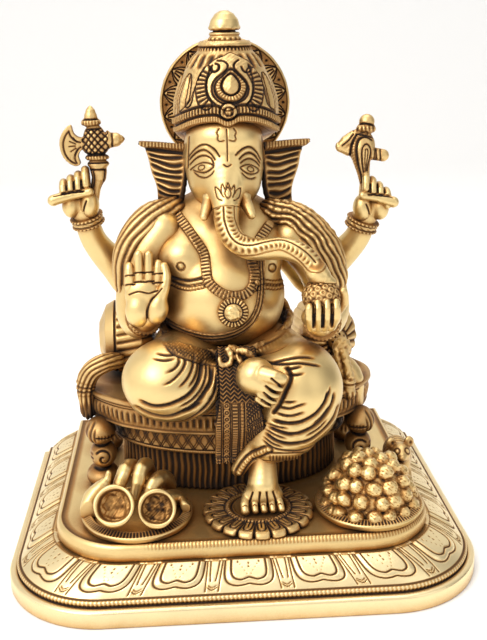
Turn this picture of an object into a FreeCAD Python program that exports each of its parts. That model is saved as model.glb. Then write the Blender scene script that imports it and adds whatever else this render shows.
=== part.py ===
"""A seated elephant-headed deity in cast brass, on a throne and a lotus plinth, as separate castings.

Millimetres. +Z is up, the idol faces -Y, and the origin is the centre of the plinth's underside.
Left and right are as seen by somebody who faces the idol: left is -X and right is +X.
"""
import FreeCAD, Part
import Sketcher
import math
import os

doc = FreeCAD.newDocument("GaneshaIdol")

# Plain lengths of the plinth, the throne, the worn ornaments and the fasteners.
SIZES = {
    "plinth_half_width": 143,
    "plinth_half_depth": 108,
    "plinth_corner": 60,
    "plinth_wall": 5,
    "rim_height": 11,
    "ridge_inset": 5,
    "ridge_height": 4,
    "band_inset": 7,
    "band_height": 13,
    "band_rise_side": 20,
    "band_rise_front": 14,
    "band_back_gap": 2,
    "deck_inset": 2,
    "deck_height": 10,
    "deck_plate": 5,
    "deck_edge_round": 1.5,
    "footrest_radius": 34,
    "footrest_height": 4,
    "footrest_x": 9,
    "footrest_y": -51,
    "sweets_dish_radius": 33,
    "sweets_dish_x": 77,
    "sweets_dish_y": -50,
    "fruit_dish_radius": 33.5,
    "fruit_dish_x": -64,
    "fruit_dish_y": -50,
    "dish_height": 6,
    "dish_floor": 3,
    "dish_lip": 4,
    "cup_radius": 12.2,
    "cup_height": 13,
    "cup_wall": 3,
    "cup_y": -68,
    "cup_z": 46.5,
    "cup_left_x": -76.5,
    "cup_right_x": -51.5,
    "banana_bend": 15,
    "banana_radius": 5,
    "banana_spread": 10,
    "banana_y": -37,
    "banana_z": 46,
    "throne_x": -4,
    "throne_y": 25,
    "throne_wall": 6,
    "skirt_half_x": 72,
    "skirt_half_y": 46,
    "skirt_height": 27,
    "apron_half_x": 79,
    "apron_half_y": 53,
    "apron_height": 16,
    "seat_half_x": 95,
    "seat_half_y": 60,
    "seat_height": 19,
    "seat_plate": 8,
    "seat_edge_round": 3,
    "foot_offset_x": 84,
    "foot_offset_y": 26,
    "bolster_radius": 24.4,
    "bolster_length": 37,
    "bolster_left_x": -69,
    "bolster_right_x": 64,
    "bolster_y": 40,
    "bolster_z": 124.4,
    "halo_radius": 41,
    "halo_thickness": 4,
    "halo_x": -1,
    "halo_y": 51,
    "halo_z": 274,
    "crown_x": -2,
    "crown_y": 18,
    "crown_low": 257,
    "crown_radius": 31,
    "crown_height": 51,
    "finial_radius": 12.5,
    "finial_height": 22,
    "ear_thickness": 5,
    "ear_y": 21,
    "attribute_y": 13,
    "haft_radius": 2.4,
    "haft_low": 204,
    "axe_x": -85,
    "axe_top": 276,
    "goad_x": 85,
    "goad_top": 268,
    "blade_thickness": 4,
    "cloth_thickness": 2.4,
    "collar_x": -5,
    "collar_z": 200,
    "collar_half_x": 27,
    "collar_half_z": 34,
    "collar_width": 8,
    "thread_x": 0,
    "thread_z": 176,
    "thread_half_x": 35,
    "thread_half_z": 41,
    "thread_width": 4,
    "belt_low": 124,
    "belt_tilt": 11,
    "belt_height": 7,
    "sash_width": 28,
    "sash_thickness": 4,
    "sash_x": -3,
    "sash_top": 137,
    "sash_bottom": 70,
    "sash_y": -42,
    "sash_bulge": 15,
    "cuff_thickness": 2.6,
    "cuff_length": 6.5,
    "tie_radius": 4,
    "tie_length": 88,
    "tie_y": 22,
    "head_height": 5,
    "washer_height": 2,
    "washer_radius": 11,
    "bolt_radius": 2.5,
    "bolt_length": 16,
    "bolt_clearance": 0.4,
}

# Rounded masses: centre x, y, z, then the half-axes along x, y and z.
MASSES = {
    "belly": (-7, 3, 160, 39, 37, 38),
    "chest": (-6, 12, 193, 44, 27, 27),
    "breast_left": (-30, -4, 186, 17, 16, 15),
    "breast_right": (15, -4, 184, 17, 16, 15),
    "hips": (-6, 16, 122, 47, 36, 28),
    "neck": (-5, 17, 217, 21, 19, 18),
    "skull": (-4, 15, 245, 25, 25, 27),
    "cheeks": (-4, 7, 229, 21, 18, 16),
    "palm_blessing": (-54, -20, 168, 12, 6.5, 14),
    "palm_offering": (47, -46, 161, 12, 11, 8),
    "sweet_ball": (47.5, -46, 172, 11, 11, 10),
    "fist_left": (-92, 15, 219, 9, 9, 10),
    "fist_right": (86.7, 14.6, 213, 9, 9, 10),
    "knee_left": (-43, -34, 117, 29, 27, 24),
    "knee_right": (36, -34, 109, 30, 29, 29),
    "sole_left": (12, -56, 125, 17, 10, 10),
    "instep_right": (11.5, -52, 58, 10, 12, 14),
    "toes_right": (11.5, -57, 47, 12.5, 8.5, 6),
    "sweets": (77, -50, 41, 28, 28, 33),
    "pendant": (-3, -35, 162, 9.5, 3.5, 9.5),
    "belt_knot": (-4, -32, 138, 9, 6, 7),
    "mouse_body": (105, -6, 49, 9.5, 18, 12.5),
    "mouse_head": (103, -24, 60, 7, 9, 7.5),
    "mouse_ear_left": (98.5, -21, 65.5, 3, 2, 4),
    "mouse_ear_right": (107.5, -21, 65.5, 3, 2, 4),
    "goad_body": (84, 13, 240, 9, 5, 10),
    "axe_block": (-84, 13, 255, 7, 5, 7),
    "foot_cap": (0, 0, 75, 9.5, 13, 9),
    "foot_scroll": (0, -2, 60, 9, 10, 10),
    "foot_pad": (0, -3, 44, 11, 12, 9),
    "tassel_knot": (69, 10, 121, 7.5, 7, 8),
}

# Bent round forms: stations of x, y, z and radius, in order from the root to the tip.
ROUTES = {
    "trunk": ((-4, 2, 236, 10), (-5, -10, 227, 9.5), (-5, -16.5, 219, 8.5), (-4.5, -22, 209, 7),
              (-1, -27, 202, 6.5), (12, -33, 197, 6.5), (27, -38, 198, 6.5), (39, -42, 194, 6.2),
              (45, -45, 184, 5.8)),
    "tusk_left": ((-13, -6, 223, 4), (-16, -13, 218, 3.6), (-18.5, -18, 214, 2.4)),
    "tusk_right": ((5.6, -6.5, 223.4, 4), (8.3, -13, 218.3, 3.5), (10.7, -18, 214.2, 2.5)),
    "rear_arm_left_upper": ((-36, 34, 196, 13), (-50, 35, 178, 12.5), (-62, 31, 163, 12)),
    "rear_arm_left_lower": ((-60, 31, 161, 12), (-74, 26, 176, 10.3),
                            (-86, 20, 194, 8), (-90.5, 15.5, 213.5, 7.3)),
    "rear_arm_right_upper": ((28, 34, 192, 13), (42, 35, 176, 12.5), (54, 31, 162, 12)),
    "rear_arm_right_lower": ((52, 31, 160, 12), (66, 26, 174, 10.4),
                             (79.5, 19, 191, 8.2), (84, 16, 206, 7.5)),
    "front_arm_left_upper": ((-42, 5, 202, 13), (-55, 3, 184, 14), (-61, -1, 158, 12.5)),
    "front_arm_left_lower": ((-61, 3, 153, 11.5), (-59, -8, 149, 10), (-54, -18, 155, 8)),
    "front_arm_right_upper": ((36, 5, 196, 13), (51, 3, 180, 13.5), (59, -5, 157, 12)),
    "front_arm_right_lower": ((59, 0, 154, 11.5), (56, -20, 149, 10), (48, -38, 153, 8)),
    "thigh_left": ((-18, 14, 120, 25), (-30, -12, 119, 26), (-43, -34, 117, 24)),
    "shin_left": ((-40, -34, 112, 19), (-18, -39, 114, 14), (0, -46, 120, 11)),
    "thigh_right": ((8, 14, 120, 25), (22, -10, 116, 27), (36, -34, 109, 27)),
    "shin_right": ((32, -40, 98, 25), (22, -48, 84, 18), (15, -46, 74, 12), (13, -46, 66, 8)),
    "shawl_left": ((-36, 12, 214, 8), (-50, 6, 208, 10), (-63, 2, 190, 10), (-67, -2, 172, 7)),
    "shawl_right": ((28, 12, 209, 8), (44, 6, 203, 10), (57, 0, 186, 10), (62, -6, 168, 7)),
    "drape_left": ((-74, 11, 110, 8), (-84, 8, 113, 8.5), (-92, 6, 107, 8),
                   (-94, 6, 95, 6.5), (-94.5, 6, 84, 5.5)),
    "drape_right": ((62, 11, 104, 7), (72, 8, 106, 9), (76.5, 6, 98, 8), (77, 6, 84, 6.5)),
    "tassel": ((69, 6, 118, 4), (69.5, -2, 113, 4), (71, -7, 105, 3.5), (71.5, -8, 94, 4.5)),
    "goad_curl": ((82, 13, 246, 5), (75, 13, 254, 4.5), (68, 13, 255, 4), (64, 13, 248, 3)),
    "goad_peg": ((88, 13, 241, 2.6), (96, 13, 243, 2)),
    "mouse_tail": ((107, 6, 44, 3), (108, 16, 42, 2.4), (104, 24, 41, 1.8)),
    "thumb_blessing": ((-45, -21, 166, 4), (-41, -22, 176, 3.2), (-41, -21, 184, 2.4)),
    "thumb_offering": ((56, -40, 160, 4), (61, -44, 168, 3.4), (59, -47, 177, 2.6)),
    "finger_left": ((-90, 9, 222, 3.2), (-88, 6, 230, 2.8), (-89, 7, 237, 2.2)),
    "finger_right": ((87, 9, 218, 3.2), (85, 6, 226, 2.8), (86, 7, 233, 2.2)),
}

# The four raised fingers of the blessing hand: x of the root, x and z of the tip, from left to right.
BLESSING_FINGERS = ((-62.5, -62, 189), (-57, -56.5, 196), (-51.5, -50.5, 195), (-46.5, -45, 189))

UPRIGHT = FreeCAD.Rotation()
X_AXIS = FreeCAD.Vector(1, 0, 0)
Y_AXIS = FreeCAD.Vector(0, 1, 0)
Z_AXIS = FreeCAD.Vector(0, 0, 1)
sub_parts = []


class Size:
    """A number together with the sheet expression that gives it."""

    def __init__(self, text, value):
        self.text = text
        self.value = value

    def __add__(self, other):
        return Size("(%s + %s)" % (self.text, text_of(other)), self.value + value_of(other))

    def __sub__(self, other):
        return Size("(%s - %s)" % (self.text, text_of(other)), self.value - value_of(other))

    def __mul__(self, other):
        return Size("(%s * %s)" % (self.text, text_of(other)), self.value * value_of(other))

    def __truediv__(self, other):
        return Size("(%s / %s)" % (self.text, text_of(other)), self.value / value_of(other))

    def __neg__(self):
        return Size("(-1 * %s)" % self.text, -self.value)


def text_of(size):
    """The expression text of a Size or a bare number."""
    return size.text if isinstance(size, Size) else repr(size)


def value_of(size):
    """The present value of a Size or a bare number."""
    return size.value if isinstance(size, Size) else size


def make_sheet():
    """Put every driving dimension in a spreadsheet, one aliased cell each."""
    cells = dict(SIZES)
    for name, numbers in MASSES.items():
        for key, number in zip(("x", "y", "z", "rx", "ry", "rz"), numbers):
            cells["%s_%s" % (name, key)] = number
    for name, stations in ROUTES.items():
        for index, station in enumerate(stations, 1):
            for key, number in zip(("x", "y", "z", "r"), station):
                cells["%s_%d_%s" % (name, index, key)] = number
    for index, finger in enumerate(BLESSING_FINGERS, 1):
        for key, number in zip(("root_x", "tip_x", "tip_z"), finger):
            cells["finger_%d_%s" % (index, key)] = number
    sheet = doc.addObject("Spreadsheet::Sheet", "dims")
    for row, (alias, number) in enumerate(cells.items(), 1):
        sheet.set("A%d" % row, alias)
        sheet.set("B%d" % row, str(number))
        sheet.setAlias("B%d" % row, alias)
    doc.recompute()
    return cells


CELLS = make_sheet()


def dim(alias):
    """The Size of one cell of the sheet."""
    return Size("dims.%s" % alias, float(CELLS[alias]))


def bind(item, prop, size):
    """Drive one property of an object from the sheet."""
    item.setExpression(prop, text_of(size))


def place(item, centre, turn=UPRIGHT):
    """Turn an object, and drive the place of its own origin from the sheet."""
    item.Placement = FreeCAD.Placement(FreeCAD.Vector(*[value_of(part) for part in centre]), turn)
    for axis, coordinate in zip("xyz", centre):
        bind(item, "Placement.Base." + axis, coordinate)


def sub_part(label, item):
    """Name the finished object after its node and remember it."""
    item.Label = label
    sub_parts.append(item)
    return item


def fused(name, pieces):
    """Several overlapping forms of one casting as one solid."""
    if len(pieces) == 1:
        return pieces[0]
    item = doc.addObject("Part::MultiFuse", name + "_forms")
    item.Shapes = pieces
    return item


def grouped(name, pieces):
    """Several like solids that share a node."""
    item = doc.addObject("Part::Compound", name + "_set")
    item.Links = pieces
    return item


def carved(base, neighbours):
    """Cut a piece back to the faces of the pieces that it fits against."""
    for neighbour in neighbours:
        cut = doc.addObject("Part::Cut", base.Name + "_fit")
        cut.Base = base
        cut.Tool = neighbour
        base = cut
    return base


def common(name, first, second):
    """What two forms share."""
    item = doc.addObject("Part::Common", name)
    item.Base = first
    item.Tool = second
    return item


def mass(name, swell=0, centre=None, turn=UPRIGHT):
    """One rounded mass, swollen outwards by an optional skin thickness."""
    item = doc.addObject("Part::Ellipsoid", name + "_form")
    for prop, key in (("Radius1", "rz"), ("Radius2", "rx"), ("Radius3", "ry")):
        bind(item, prop, dim("%s_%s" % (name, key)) + swell)
    if centre is None:
        centre = [dim("%s_%s" % (name, axis)) for axis in "xyz"]
    place(item, centre, turn)
    return item


def limb(name):
    """A smooth tapering limb through the round stations of its route, without twist between them."""
    points = [FreeCAD.Vector(*station[:3]) for station in ROUTES[name]]
    rings = []
    heading = Z_AXIS
    turn = UPRIGHT
    for index in range(len(points)):
        onward = points[min(index + 1, len(points) - 1)] - points[max(index - 1, 0)]
        turn = FreeCAD.Rotation(heading, onward).multiply(turn)
        heading = onward
        station = "%s_%d_" % (name, index + 1)
        ring = doc.addObject("Part::Circle", station + "ring")
        bind(ring, "Radius", dim(station + "r"))
        place(ring, [dim(station + axis) for axis in "xyz"], turn)
        rings.append(ring)
    item = doc.addObject("Part::Loft", name + "_loft")
    item.Sections = rings
    item.Solid = True
    return item


def rod(name, radius, length, base, turn=UPRIGHT):
    """A plain round rod from its base point."""
    item = doc.addObject("Part::Cylinder", name)
    bind(item, "Radius", radius)
    bind(item, "Height", length)
    place(item, base, turn)
    return item


def cone(name, low_radius, high_radius, length, base, turn=UPRIGHT):
    """A straight taper from its base point."""
    item = doc.addObject("Part::Cone", name)
    bind(item, "Radius1", low_radius)
    bind(item, "Radius2", high_radius)
    bind(item, "Height", length)
    place(item, base, turn)
    return item


def oval_block(name, half_x, half_y, low, height):
    """An upright oval block on the throne's axis."""
    plan = doc.addObject("Part::Ellipse", name + "_plan")
    bind(plan, "MajorRadius", half_x)
    bind(plan, "MinorRadius", half_y)
    place(plan, (dim("throne_x"), dim("throne_y"), low))
    block = doc.addObject("Part::Extrusion", name)
    block.Base = plan
    block.DirMode = "Custom"
    block.Dir = Z_AXIS
    block.Solid = True
    bind(block, "LengthFwd", height)
    return block


def new_body(name):
    """An empty body."""
    return doc.addObject("PartDesign::Body", name + "_body")


def new_sketch(body, name, role, height=None):
    """A sketch on one of the body's own origin planes, raised along its normal."""
    plane = [feature for feature in body.Origin.OriginFeatures if feature.Role == role][0]
    sketch = body.newObject("Sketcher::SketchObject", name)
    sketch.AttachmentSupport = [(plane, "")]
    sketch.MapMode = "FlatFace"
    if height is not None:
        bind(sketch, "AttachmentOffset.Base.z", height)
    return sketch


def constrain(sketch, kind, *details, size=None):
    """Add a constraint, and drive it from the sheet if it has a size."""
    if size is None:
        sketch.addConstraint(Sketcher.Constraint(kind, *details))
        return
    index = sketch.addConstraint(Sketcher.Constraint(kind, *details, value_of(size)))
    sketch.setExpression("Constraints[%d]" % index, text_of(size))


def plan_outline(body, name, height, half_width, front, back, corner):
    """A plinth's plan: square corners behind and round corners in front."""
    sketch = new_sketch(body, name, "XY_Plane", height)
    wide, near, far, bend = [value_of(size) for size in (half_width, front, back, corner)]
    back_left = FreeCAD.Vector(-wide, far, 0)
    back_right = FreeCAD.Vector(wide, far, 0)
    side_right = FreeCAD.Vector(wide, bend - near, 0)
    front_right = FreeCAD.Vector(wide - bend, -near, 0)
    front_left = FreeCAD.Vector(bend - wide, -near, 0)
    side_left = FreeCAD.Vector(-wide, bend - near, 0)
    right_centre = FreeCAD.Vector(wide - bend, bend - near, 0)
    left_centre = FreeCAD.Vector(bend - wide, bend - near, 0)
    sketch.addGeometry(Part.LineSegment(back_left, back_right))
    sketch.addGeometry(Part.LineSegment(back_right, side_right))
    sketch.addGeometry(Part.ArcOfCircle(Part.Circle(right_centre, Z_AXIS, bend), -math.pi / 2, 0))
    sketch.addGeometry(Part.LineSegment(front_right, front_left))
    sketch.addGeometry(Part.ArcOfCircle(Part.Circle(left_centre, Z_AXIS, bend), math.pi, math.pi * 1.5))
    sketch.addGeometry(Part.LineSegment(side_left, back_left))
    constrain(sketch, "Coincident", 0, 2, 1, 1)
    constrain(sketch, "Tangent", 1, 2, 2, 2)
    constrain(sketch, "Tangent", 2, 1, 3, 1)
    constrain(sketch, "Tangent", 3, 2, 4, 2)
    constrain(sketch, "Tangent", 4, 1, 5, 1)
    constrain(sketch, "Coincident", 5, 2, 0, 1)
    constrain(sketch, "Vertical", 1)
    constrain(sketch, "Horizontal", 3)
    constrain(sketch, "Vertical", 5)
    constrain(sketch, "Equal", 2, 4)
    constrain(sketch, "Symmetric", 0, 1, 0, 2, -2)
    constrain(sketch, "DistanceX", 0, 1, 0, 2, size=half_width * 2)
    constrain(sketch, "DistanceY", -1, 1, 0, 1, size=back)
    constrain(sketch, "DistanceY", 3, 1, -1, 1, size=front)
    constrain(sketch, "Radius", 2, size=corner)
    return sketch


def polygon(body, name, role, points):
    """A closed straight-sided profile, every corner driven from the sheet."""
    sketch = new_sketch(body, name, role)
    corners = [FreeCAD.Vector(value_of(across), value_of(up), 0) for across, up in points]
    count = len(corners)
    for index, corner in enumerate(corners):
        sketch.addGeometry(Part.LineSegment(corner, corners[(index + 1) % count]))
    for index in range(count):
        constrain(sketch, "Coincident", index, 2, (index + 1) % count, 1)
    for index, point in enumerate(points):
        for kind, size, axis in (("DistanceX", point[0], -2), ("DistanceY", point[1], -1)):
            if value_of(size) == 0:
                constrain(sketch, "PointOnObject", index, 1, axis)
            elif value_of(size) > 0:
                constrain(sketch, kind, -1, 1, index, 1, size=size)
            else:
                constrain(sketch, kind, index, 1, -1, 1, size=size * -1)
    return sketch


def pad(body, name, sketch, length):
    """Raise a sketch into a solid step of the body."""
    feature = body.newObject("PartDesign::Pad", name)
    feature.Profile = sketch
    bind(feature, "Length", length)
    return feature


def pocket_up(body, name, sketch, depth):
    """Hollow the body upwards from a sketch, and make sure that something was cut."""
    doc.recompute()
    before = body.Shape.Volume
    feature = body.newObject("PartDesign::Pocket", name)
    feature.Profile = sketch
    feature.Reversed = True
    bind(feature, "Length", depth)
    doc.recompute()
    if body.Shape.Volume >= before:
        raise RuntimeError("%s cut nothing" % name)
    return feature


def turned(name, profile, centre, turn=UPRIGHT):
    """A body of revolution from a profile of radius and height."""
    body = new_body(name)
    sketch = polygon(body, name + "_profile", "XZ_Plane", profile)
    feature = body.newObject("PartDesign::Revolution", name + "_turned")
    feature.Profile = sketch
    feature.ReferenceAxis = (sketch, ["V_Axis"])
    feature.Angle = 360
    place(body, centre, turn)
    return body


def plate(name, role, outline, thickness, centre, turn=UPRIGHT):
    """A flat plate of even thickness about its own mid-plane."""
    body = new_body(name)
    feature = pad(body, name + "_pad", polygon(body, name + "_outline", role, outline), thickness)
    feature.SideType = "Symmetric"
    place(body, centre, turn)
    return body


# ---- Plinth ----

RIDGE_LOW = dim("rim_height")
BAND_LOW = RIDGE_LOW + dim("ridge_height")
DECK_LOW = BAND_LOW + dim("band_height")
DECK_TOP = DECK_LOW + dim("deck_height")
BAND_TOP_HALF = dim("plinth_half_width") - dim("band_inset") - dim("band_rise_side")
BAND_TOP_FRONT = dim("plinth_half_depth") - dim("band_inset") - dim("band_rise_front")
BAND_BACK = dim("plinth_half_depth") - dim("band_back_gap")


def plan_step(body, name, height, inset, back):
    """The plinth's outline drawn in by an inset."""
    half = dim("plinth_half_width") - inset
    front = dim("plinth_half_depth") - inset
    return plan_outline(body, name, height, half, front, back, dim("plinth_corner") - inset)


def band_top(body, name, inset):
    """The smaller outline at the top of the sloping band."""
    corner = dim("plinth_corner") - dim("band_rise_front") - inset
    back = BAND_BACK - inset
    return plan_outline(body, name, DECK_LOW, BAND_TOP_HALF - inset, BAND_TOP_FRONT - inset, back, corner)


def make_plinth_rim():
    """The hollow moulded rim: an upright edge, a ridge and the sloping band of petals."""
    body = new_body("plinth_rim")
    foot = plan_step(body, "foot_plan", 0, 0, dim("plinth_half_depth"))
    pad(body, "foot_step", foot, dim("rim_height"))
    ridge = plan_step(body, "ridge_plan", RIDGE_LOW, dim("ridge_inset"), BAND_BACK)
    pad(body, "ridge_step", ridge, dim("ridge_height"))
    band = body.newObject("PartDesign::AdditiveLoft", "band_slope")
    band.Profile = plan_step(body, "band_plan", BAND_LOW, dim("band_inset"), BAND_BACK)
    band.Sections = [band_top(body, "band_top_plan", 0)]
    band.Ruled = True
    hollow_low = dim("rim_height") - dim("ridge_height") / 2
    lining = dim("plinth_wall") + 1
    under = plan_step(body, "under_plan", 0, lining, dim("plinth_half_depth") - lining)
    pocket_up(body, "under_hollow", under, hollow_low)
    before = body.Shape.Volume
    inner = body.newObject("PartDesign::SubtractiveLoft", "band_hollow")
    deeper = dim("band_inset") + dim("plinth_wall")
    inner.Profile = plan_step(body, "hollow_low_plan", hollow_low, deeper, BAND_BACK - dim("plinth_wall"))
    inner.Sections = [band_top(body, "hollow_top_plan", dim("plinth_wall"))]
    inner.Ruled = True
    doc.recompute()
    if body.Shape.Volume >= before:
        raise RuntimeError("the band was not hollowed")
    return sub_part("plinth_rim", body)


def make_deck_blank():
    """The deck on top of the band, hollow beneath, with a softened upper edge."""
    body = new_body("plinth_deck")
    inset = dim("deck_inset")
    corner = dim("plinth_corner") - dim("band_rise_front") - inset
    sizes = (BAND_TOP_HALF - inset, BAND_TOP_FRONT - inset, BAND_BACK - inset, corner)
    step = pad(body, "deck_step", plan_outline(body, "deck_plan", DECK_LOW, *sizes), dim("deck_height"))
    doc.recompute()
    top = value_of(DECK_TOP)
    rim = []
    for index, edge in enumerate(step.Shape.Edges, 1):
        if all(abs(corner.Z - top) < 0.01 for corner in edge.Vertexes):
            rim.append("Edge%d" % index)
    edge_round = body.newObject("PartDesign::Fillet", "deck_edge")
    edge_round.Base = (step, rim)
    bind(edge_round, "Radius", dim("deck_edge_round"))
    lining = dim("plinth_wall") + 1
    inner = [size - lining for size in sizes]
    hollow = plan_outline(body, "deck_hollow_plan", DECK_LOW, *inner)
    pocket_up(body, "deck_hollow", hollow, dim("deck_height") - dim("deck_plate"))
    return body


def make_footrest():
    """The round lotus under the lowered foot."""
    radius = dim("footrest_radius")
    height = dim("footrest_height")
    profile = ((0, 0), (radius, 0), (radius, height / 2), (radius - 2, height), (0, height))
    centre = (dim("footrest_x"), dim("footrest_y"), DECK_TOP)
    return sub_part("lotus_footrest", turned("lotus_footrest", profile, centre))


def make_dish(label, prefix):
    """A shallow round dish with a raised lip."""
    radius = dim(prefix + "_radius")
    height = dim("dish_height")
    lip = dim("dish_lip")
    floor = dim("dish_floor")
    profile = ((0, 0), (radius - lip, 0), (radius, height - 1), (radius - 1, height), (radius - lip, height),
               (radius - lip - 2, floor), (0, floor))
    centre = (dim(prefix + "_x"), dim(prefix + "_y"), DECK_TOP)
    return sub_part(label, turned(label, profile, centre))


def make_sweets_heap(dish):
    """The heap of round sweets as one dome that rests on the dish."""
    dome = mass("sweets")
    dome.Angle1 = 0
    return sub_part("sweets_heap", carved(dome, [dish]))


def make_bananas(neighbours):
    """A hand of five bent bananas that stand over the fruit."""
    fingers = []
    bend = dim("banana_bend")
    for index in range(5):
        offset = (index - 2) * 1.0
        finger = doc.addObject("Part::Torus", "banana_%d" % (index + 1))
        bind(finger, "Radius1", bend)
        bind(finger, "Radius2", dim("banana_radius"))
        finger.Angle3 = 120
        upright = FreeCAD.Rotation(X_AXIS, 90)
        lean = FreeCAD.Rotation(Z_AXIS, 90 + offset * 9)
        centre = (dim("fruit_dish_x") + dim("banana_spread") * offset, dim("banana_y"), dim("banana_z"))
        place(finger, centre, lean.multiply(upright))
        fingers.append(finger)
    return sub_part("bananas", carved(fused("bananas", fingers), neighbours))


def make_cup(label, x_alias, lean, neighbours):
    """Half a coconut: a thick open cup that leans back to show its hollow."""
    radius = dim("cup_radius")
    height = dim("cup_height")
    wall = dim("cup_wall")
    profile = ((0, 0), (radius * 0.62, 0), (radius, height * 0.5), (radius, height), (radius - wall, height),
               (radius - wall, height * 0.55), (radius * 0.4, wall), (0, wall))
    turn = FreeCAD.Rotation(Y_AXIS, lean).multiply(FreeCAD.Rotation(X_AXIS, 40))
    cup = turned(label, profile, (dim(x_alias), dim("cup_y"), dim("cup_z")), turn)
    return sub_part(label, carved(cup, neighbours))


def make_mouse(neighbours):
    """The small mouse that looks up from beside the sweets."""
    pieces = [mass(name) for name in ("mouse_body", "mouse_head", "mouse_ear_left", "mouse_ear_right")]
    pieces.append(limb("mouse_tail"))
    return sub_part("mouse", carved(fused("mouse", pieces), neighbours))


# ---- Throne ----

SKIRT_LOW = DECK_TOP
APRON_LOW = SKIRT_LOW + dim("skirt_height")
SEAT_LOW = APRON_LOW + dim("apron_height")
SEAT_TOP = SEAT_LOW + dim("seat_height")


def oval_ring(name, prefix, low):
    """A hollow oval course of the throne."""
    half_x = dim(prefix + "_half_x")
    half_y = dim(prefix + "_half_y")
    height = dim(prefix + "_height")
    wall = dim("throne_wall") * 2
    outer = oval_block(name + "_outer", half_x, half_y, low, height)
    inner = oval_block(name + "_inner", half_x - wall, half_y - wall, low - 1, height + 2)
    return carved(outer, [inner])


def make_seat_blank():
    """The seat's whole drum with a rounded upper edge, before it is hollowed."""
    drum = oval_block("seat_drum", dim("seat_half_x"), dim("seat_half_y"), SEAT_LOW, dim("seat_height"))
    doc.recompute()
    top = value_of(SEAT_TOP)
    rim = [index for index, edge in enumerate(drum.Shape.Edges, 1)
           if all(abs(corner.Z - top) < 0.01 for corner in edge.Vertexes)]
    edge_round = doc.addObject("Part::Fillet", "seat_edge")
    edge_round.Base = drum
    edge_round.Edges = [(index, SIZES["seat_edge_round"], SIZES["seat_edge_round"]) for index in rim]
    return edge_round


def make_seat(blank):
    """The seat, hollow below, with the hole for the long bolt."""
    wall = dim("throne_wall") * 4
    height = dim("seat_height") - dim("seat_plate") + 1
    sizes = (dim("seat_half_x") - wall, dim("seat_half_y") - wall, SEAT_LOW - 1, height)
    hollow = oval_block("seat_hollow", *sizes)
    hole = tie_hole(SEAT_LOW, dim("seat_height") + 1)
    return sub_part("throne_seat", carved(blank, [hollow, hole]))


def make_throne_foot(label, side, end, neighbours):
    """One scrolled foot at a corner of the throne."""
    x = dim("throne_x") + dim("foot_offset_x") * side
    y = dim("throne_y") + dim("foot_offset_y") * end
    pieces = []
    for name in ("foot_cap", "foot_scroll", "foot_pad"):
        centre = (x + dim(name + "_x") * side, y - dim(name + "_y") * end, dim(name + "_z"))
        piece = mass(name, centre=centre)
        pieces.append(piece)
    return sub_part(label, carved(fused(label, pieces), neighbours))


def make_bolster(label, x_alias, neighbours):
    """A round cushion that lies along the back of the seat."""
    radius = dim("bolster_radius")
    half = dim("bolster_length") / 2
    soft = radius * 0.3
    profile = ((0, -half), (radius - soft, -half), (radius, soft - half), (radius, half - soft),
               (radius - soft, half), (0, half))
    centre = (dim(x_alias), dim("bolster_y"), dim("bolster_z"))
    return sub_part(label, carved(turned(label, profile, centre, FreeCAD.Rotation(Y_AXIS, 90)), neighbours))


def make_limb_part(label, neighbours):
    """A sub-part that is one plain limb."""
    return sub_part(label, carved(limb(label), neighbours))


# ---- Figure ----

TORSO_MASSES = ("belly", "chest", "breast_left", "breast_right", "hips", "neck")


def make_torso(neighbours):
    """Belly, chest, hips and neck as one casting that sits flat on the seat."""
    torso = fused("torso", [mass(name) for name in TORSO_MASSES])
    return sub_part("torso", carved(torso, neighbours))


def make_skin():
    """The torso's surface moved out by the thickness of what is worn on it."""
    return fused("skin", [mass(name, swell=dim("cloth_thickness")) for name in TORSO_MASSES])


def oval_loop(name, prefix):
    """An oval loop seen from the front, as a deep cutter."""
    forms = []
    for inset in (0, dim(prefix + "_width")):
        ring = doc.addObject("Part::Ellipse", "%s_ring" % name)
        bind(ring, "MajorRadius", dim(prefix + "_half_z") - inset)
        bind(ring, "MinorRadius", dim(prefix + "_half_x") - inset)
        level = FreeCAD.Rotation(X_AXIS, -90).multiply(FreeCAD.Rotation(Z_AXIS, 90))
        place(ring, (dim(prefix + "_x"), -dim("plinth_half_depth"), dim(prefix + "_z")), level)
        block = doc.addObject("Part::Extrusion", "%s_block" % name)
        block.Base = ring
        block.DirMode = "Custom"
        block.Dir = Y_AXIS
        block.Solid = True
        bind(block, "LengthFwd", dim("plinth_half_depth") * 2)
        forms.append(block)
    return carved(forms[0], forms[1:])


def make_worn_loop(label, cutter, neighbours):
    """An ornament that follows the surface of the chest inside a cutter."""
    strip = common(label + "_strip", make_skin(), cutter)
    return sub_part(label, carved(strip, neighbours))


def slab(name, low, height, turn=UPRIGHT):
    """A level slab as wide and deep as the plinth."""
    item = doc.addObject("Part::Box", name)
    bind(item, "Length", dim("plinth_half_width") * 2)
    bind(item, "Width", dim("plinth_half_depth") * 2)
    bind(item, "Height", height)
    place(item, (-dim("plinth_half_width"), -dim("plinth_half_depth"), low), turn)
    return item


def make_belt(neighbours):
    """The waist band, lower in front, with its knot."""
    tilt = FreeCAD.Rotation(X_AXIS, SIZES["belt_tilt"])
    cutter = slab("belt_slab", dim("belt_low"), dim("belt_height"), tilt)
    strip = common("belt_strip", make_skin(), cutter)
    band = fused("belt", [carved(strip, [torso]), mass("belt_knot")])
    return sub_part("waist_belt", carved(band, neighbours))


def make_head(neighbours):
    """The elephant's head without its trunk and ears."""
    return sub_part("head", carved(fused("head", [mass("skull"), mass("cheeks")]), neighbours))


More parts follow.
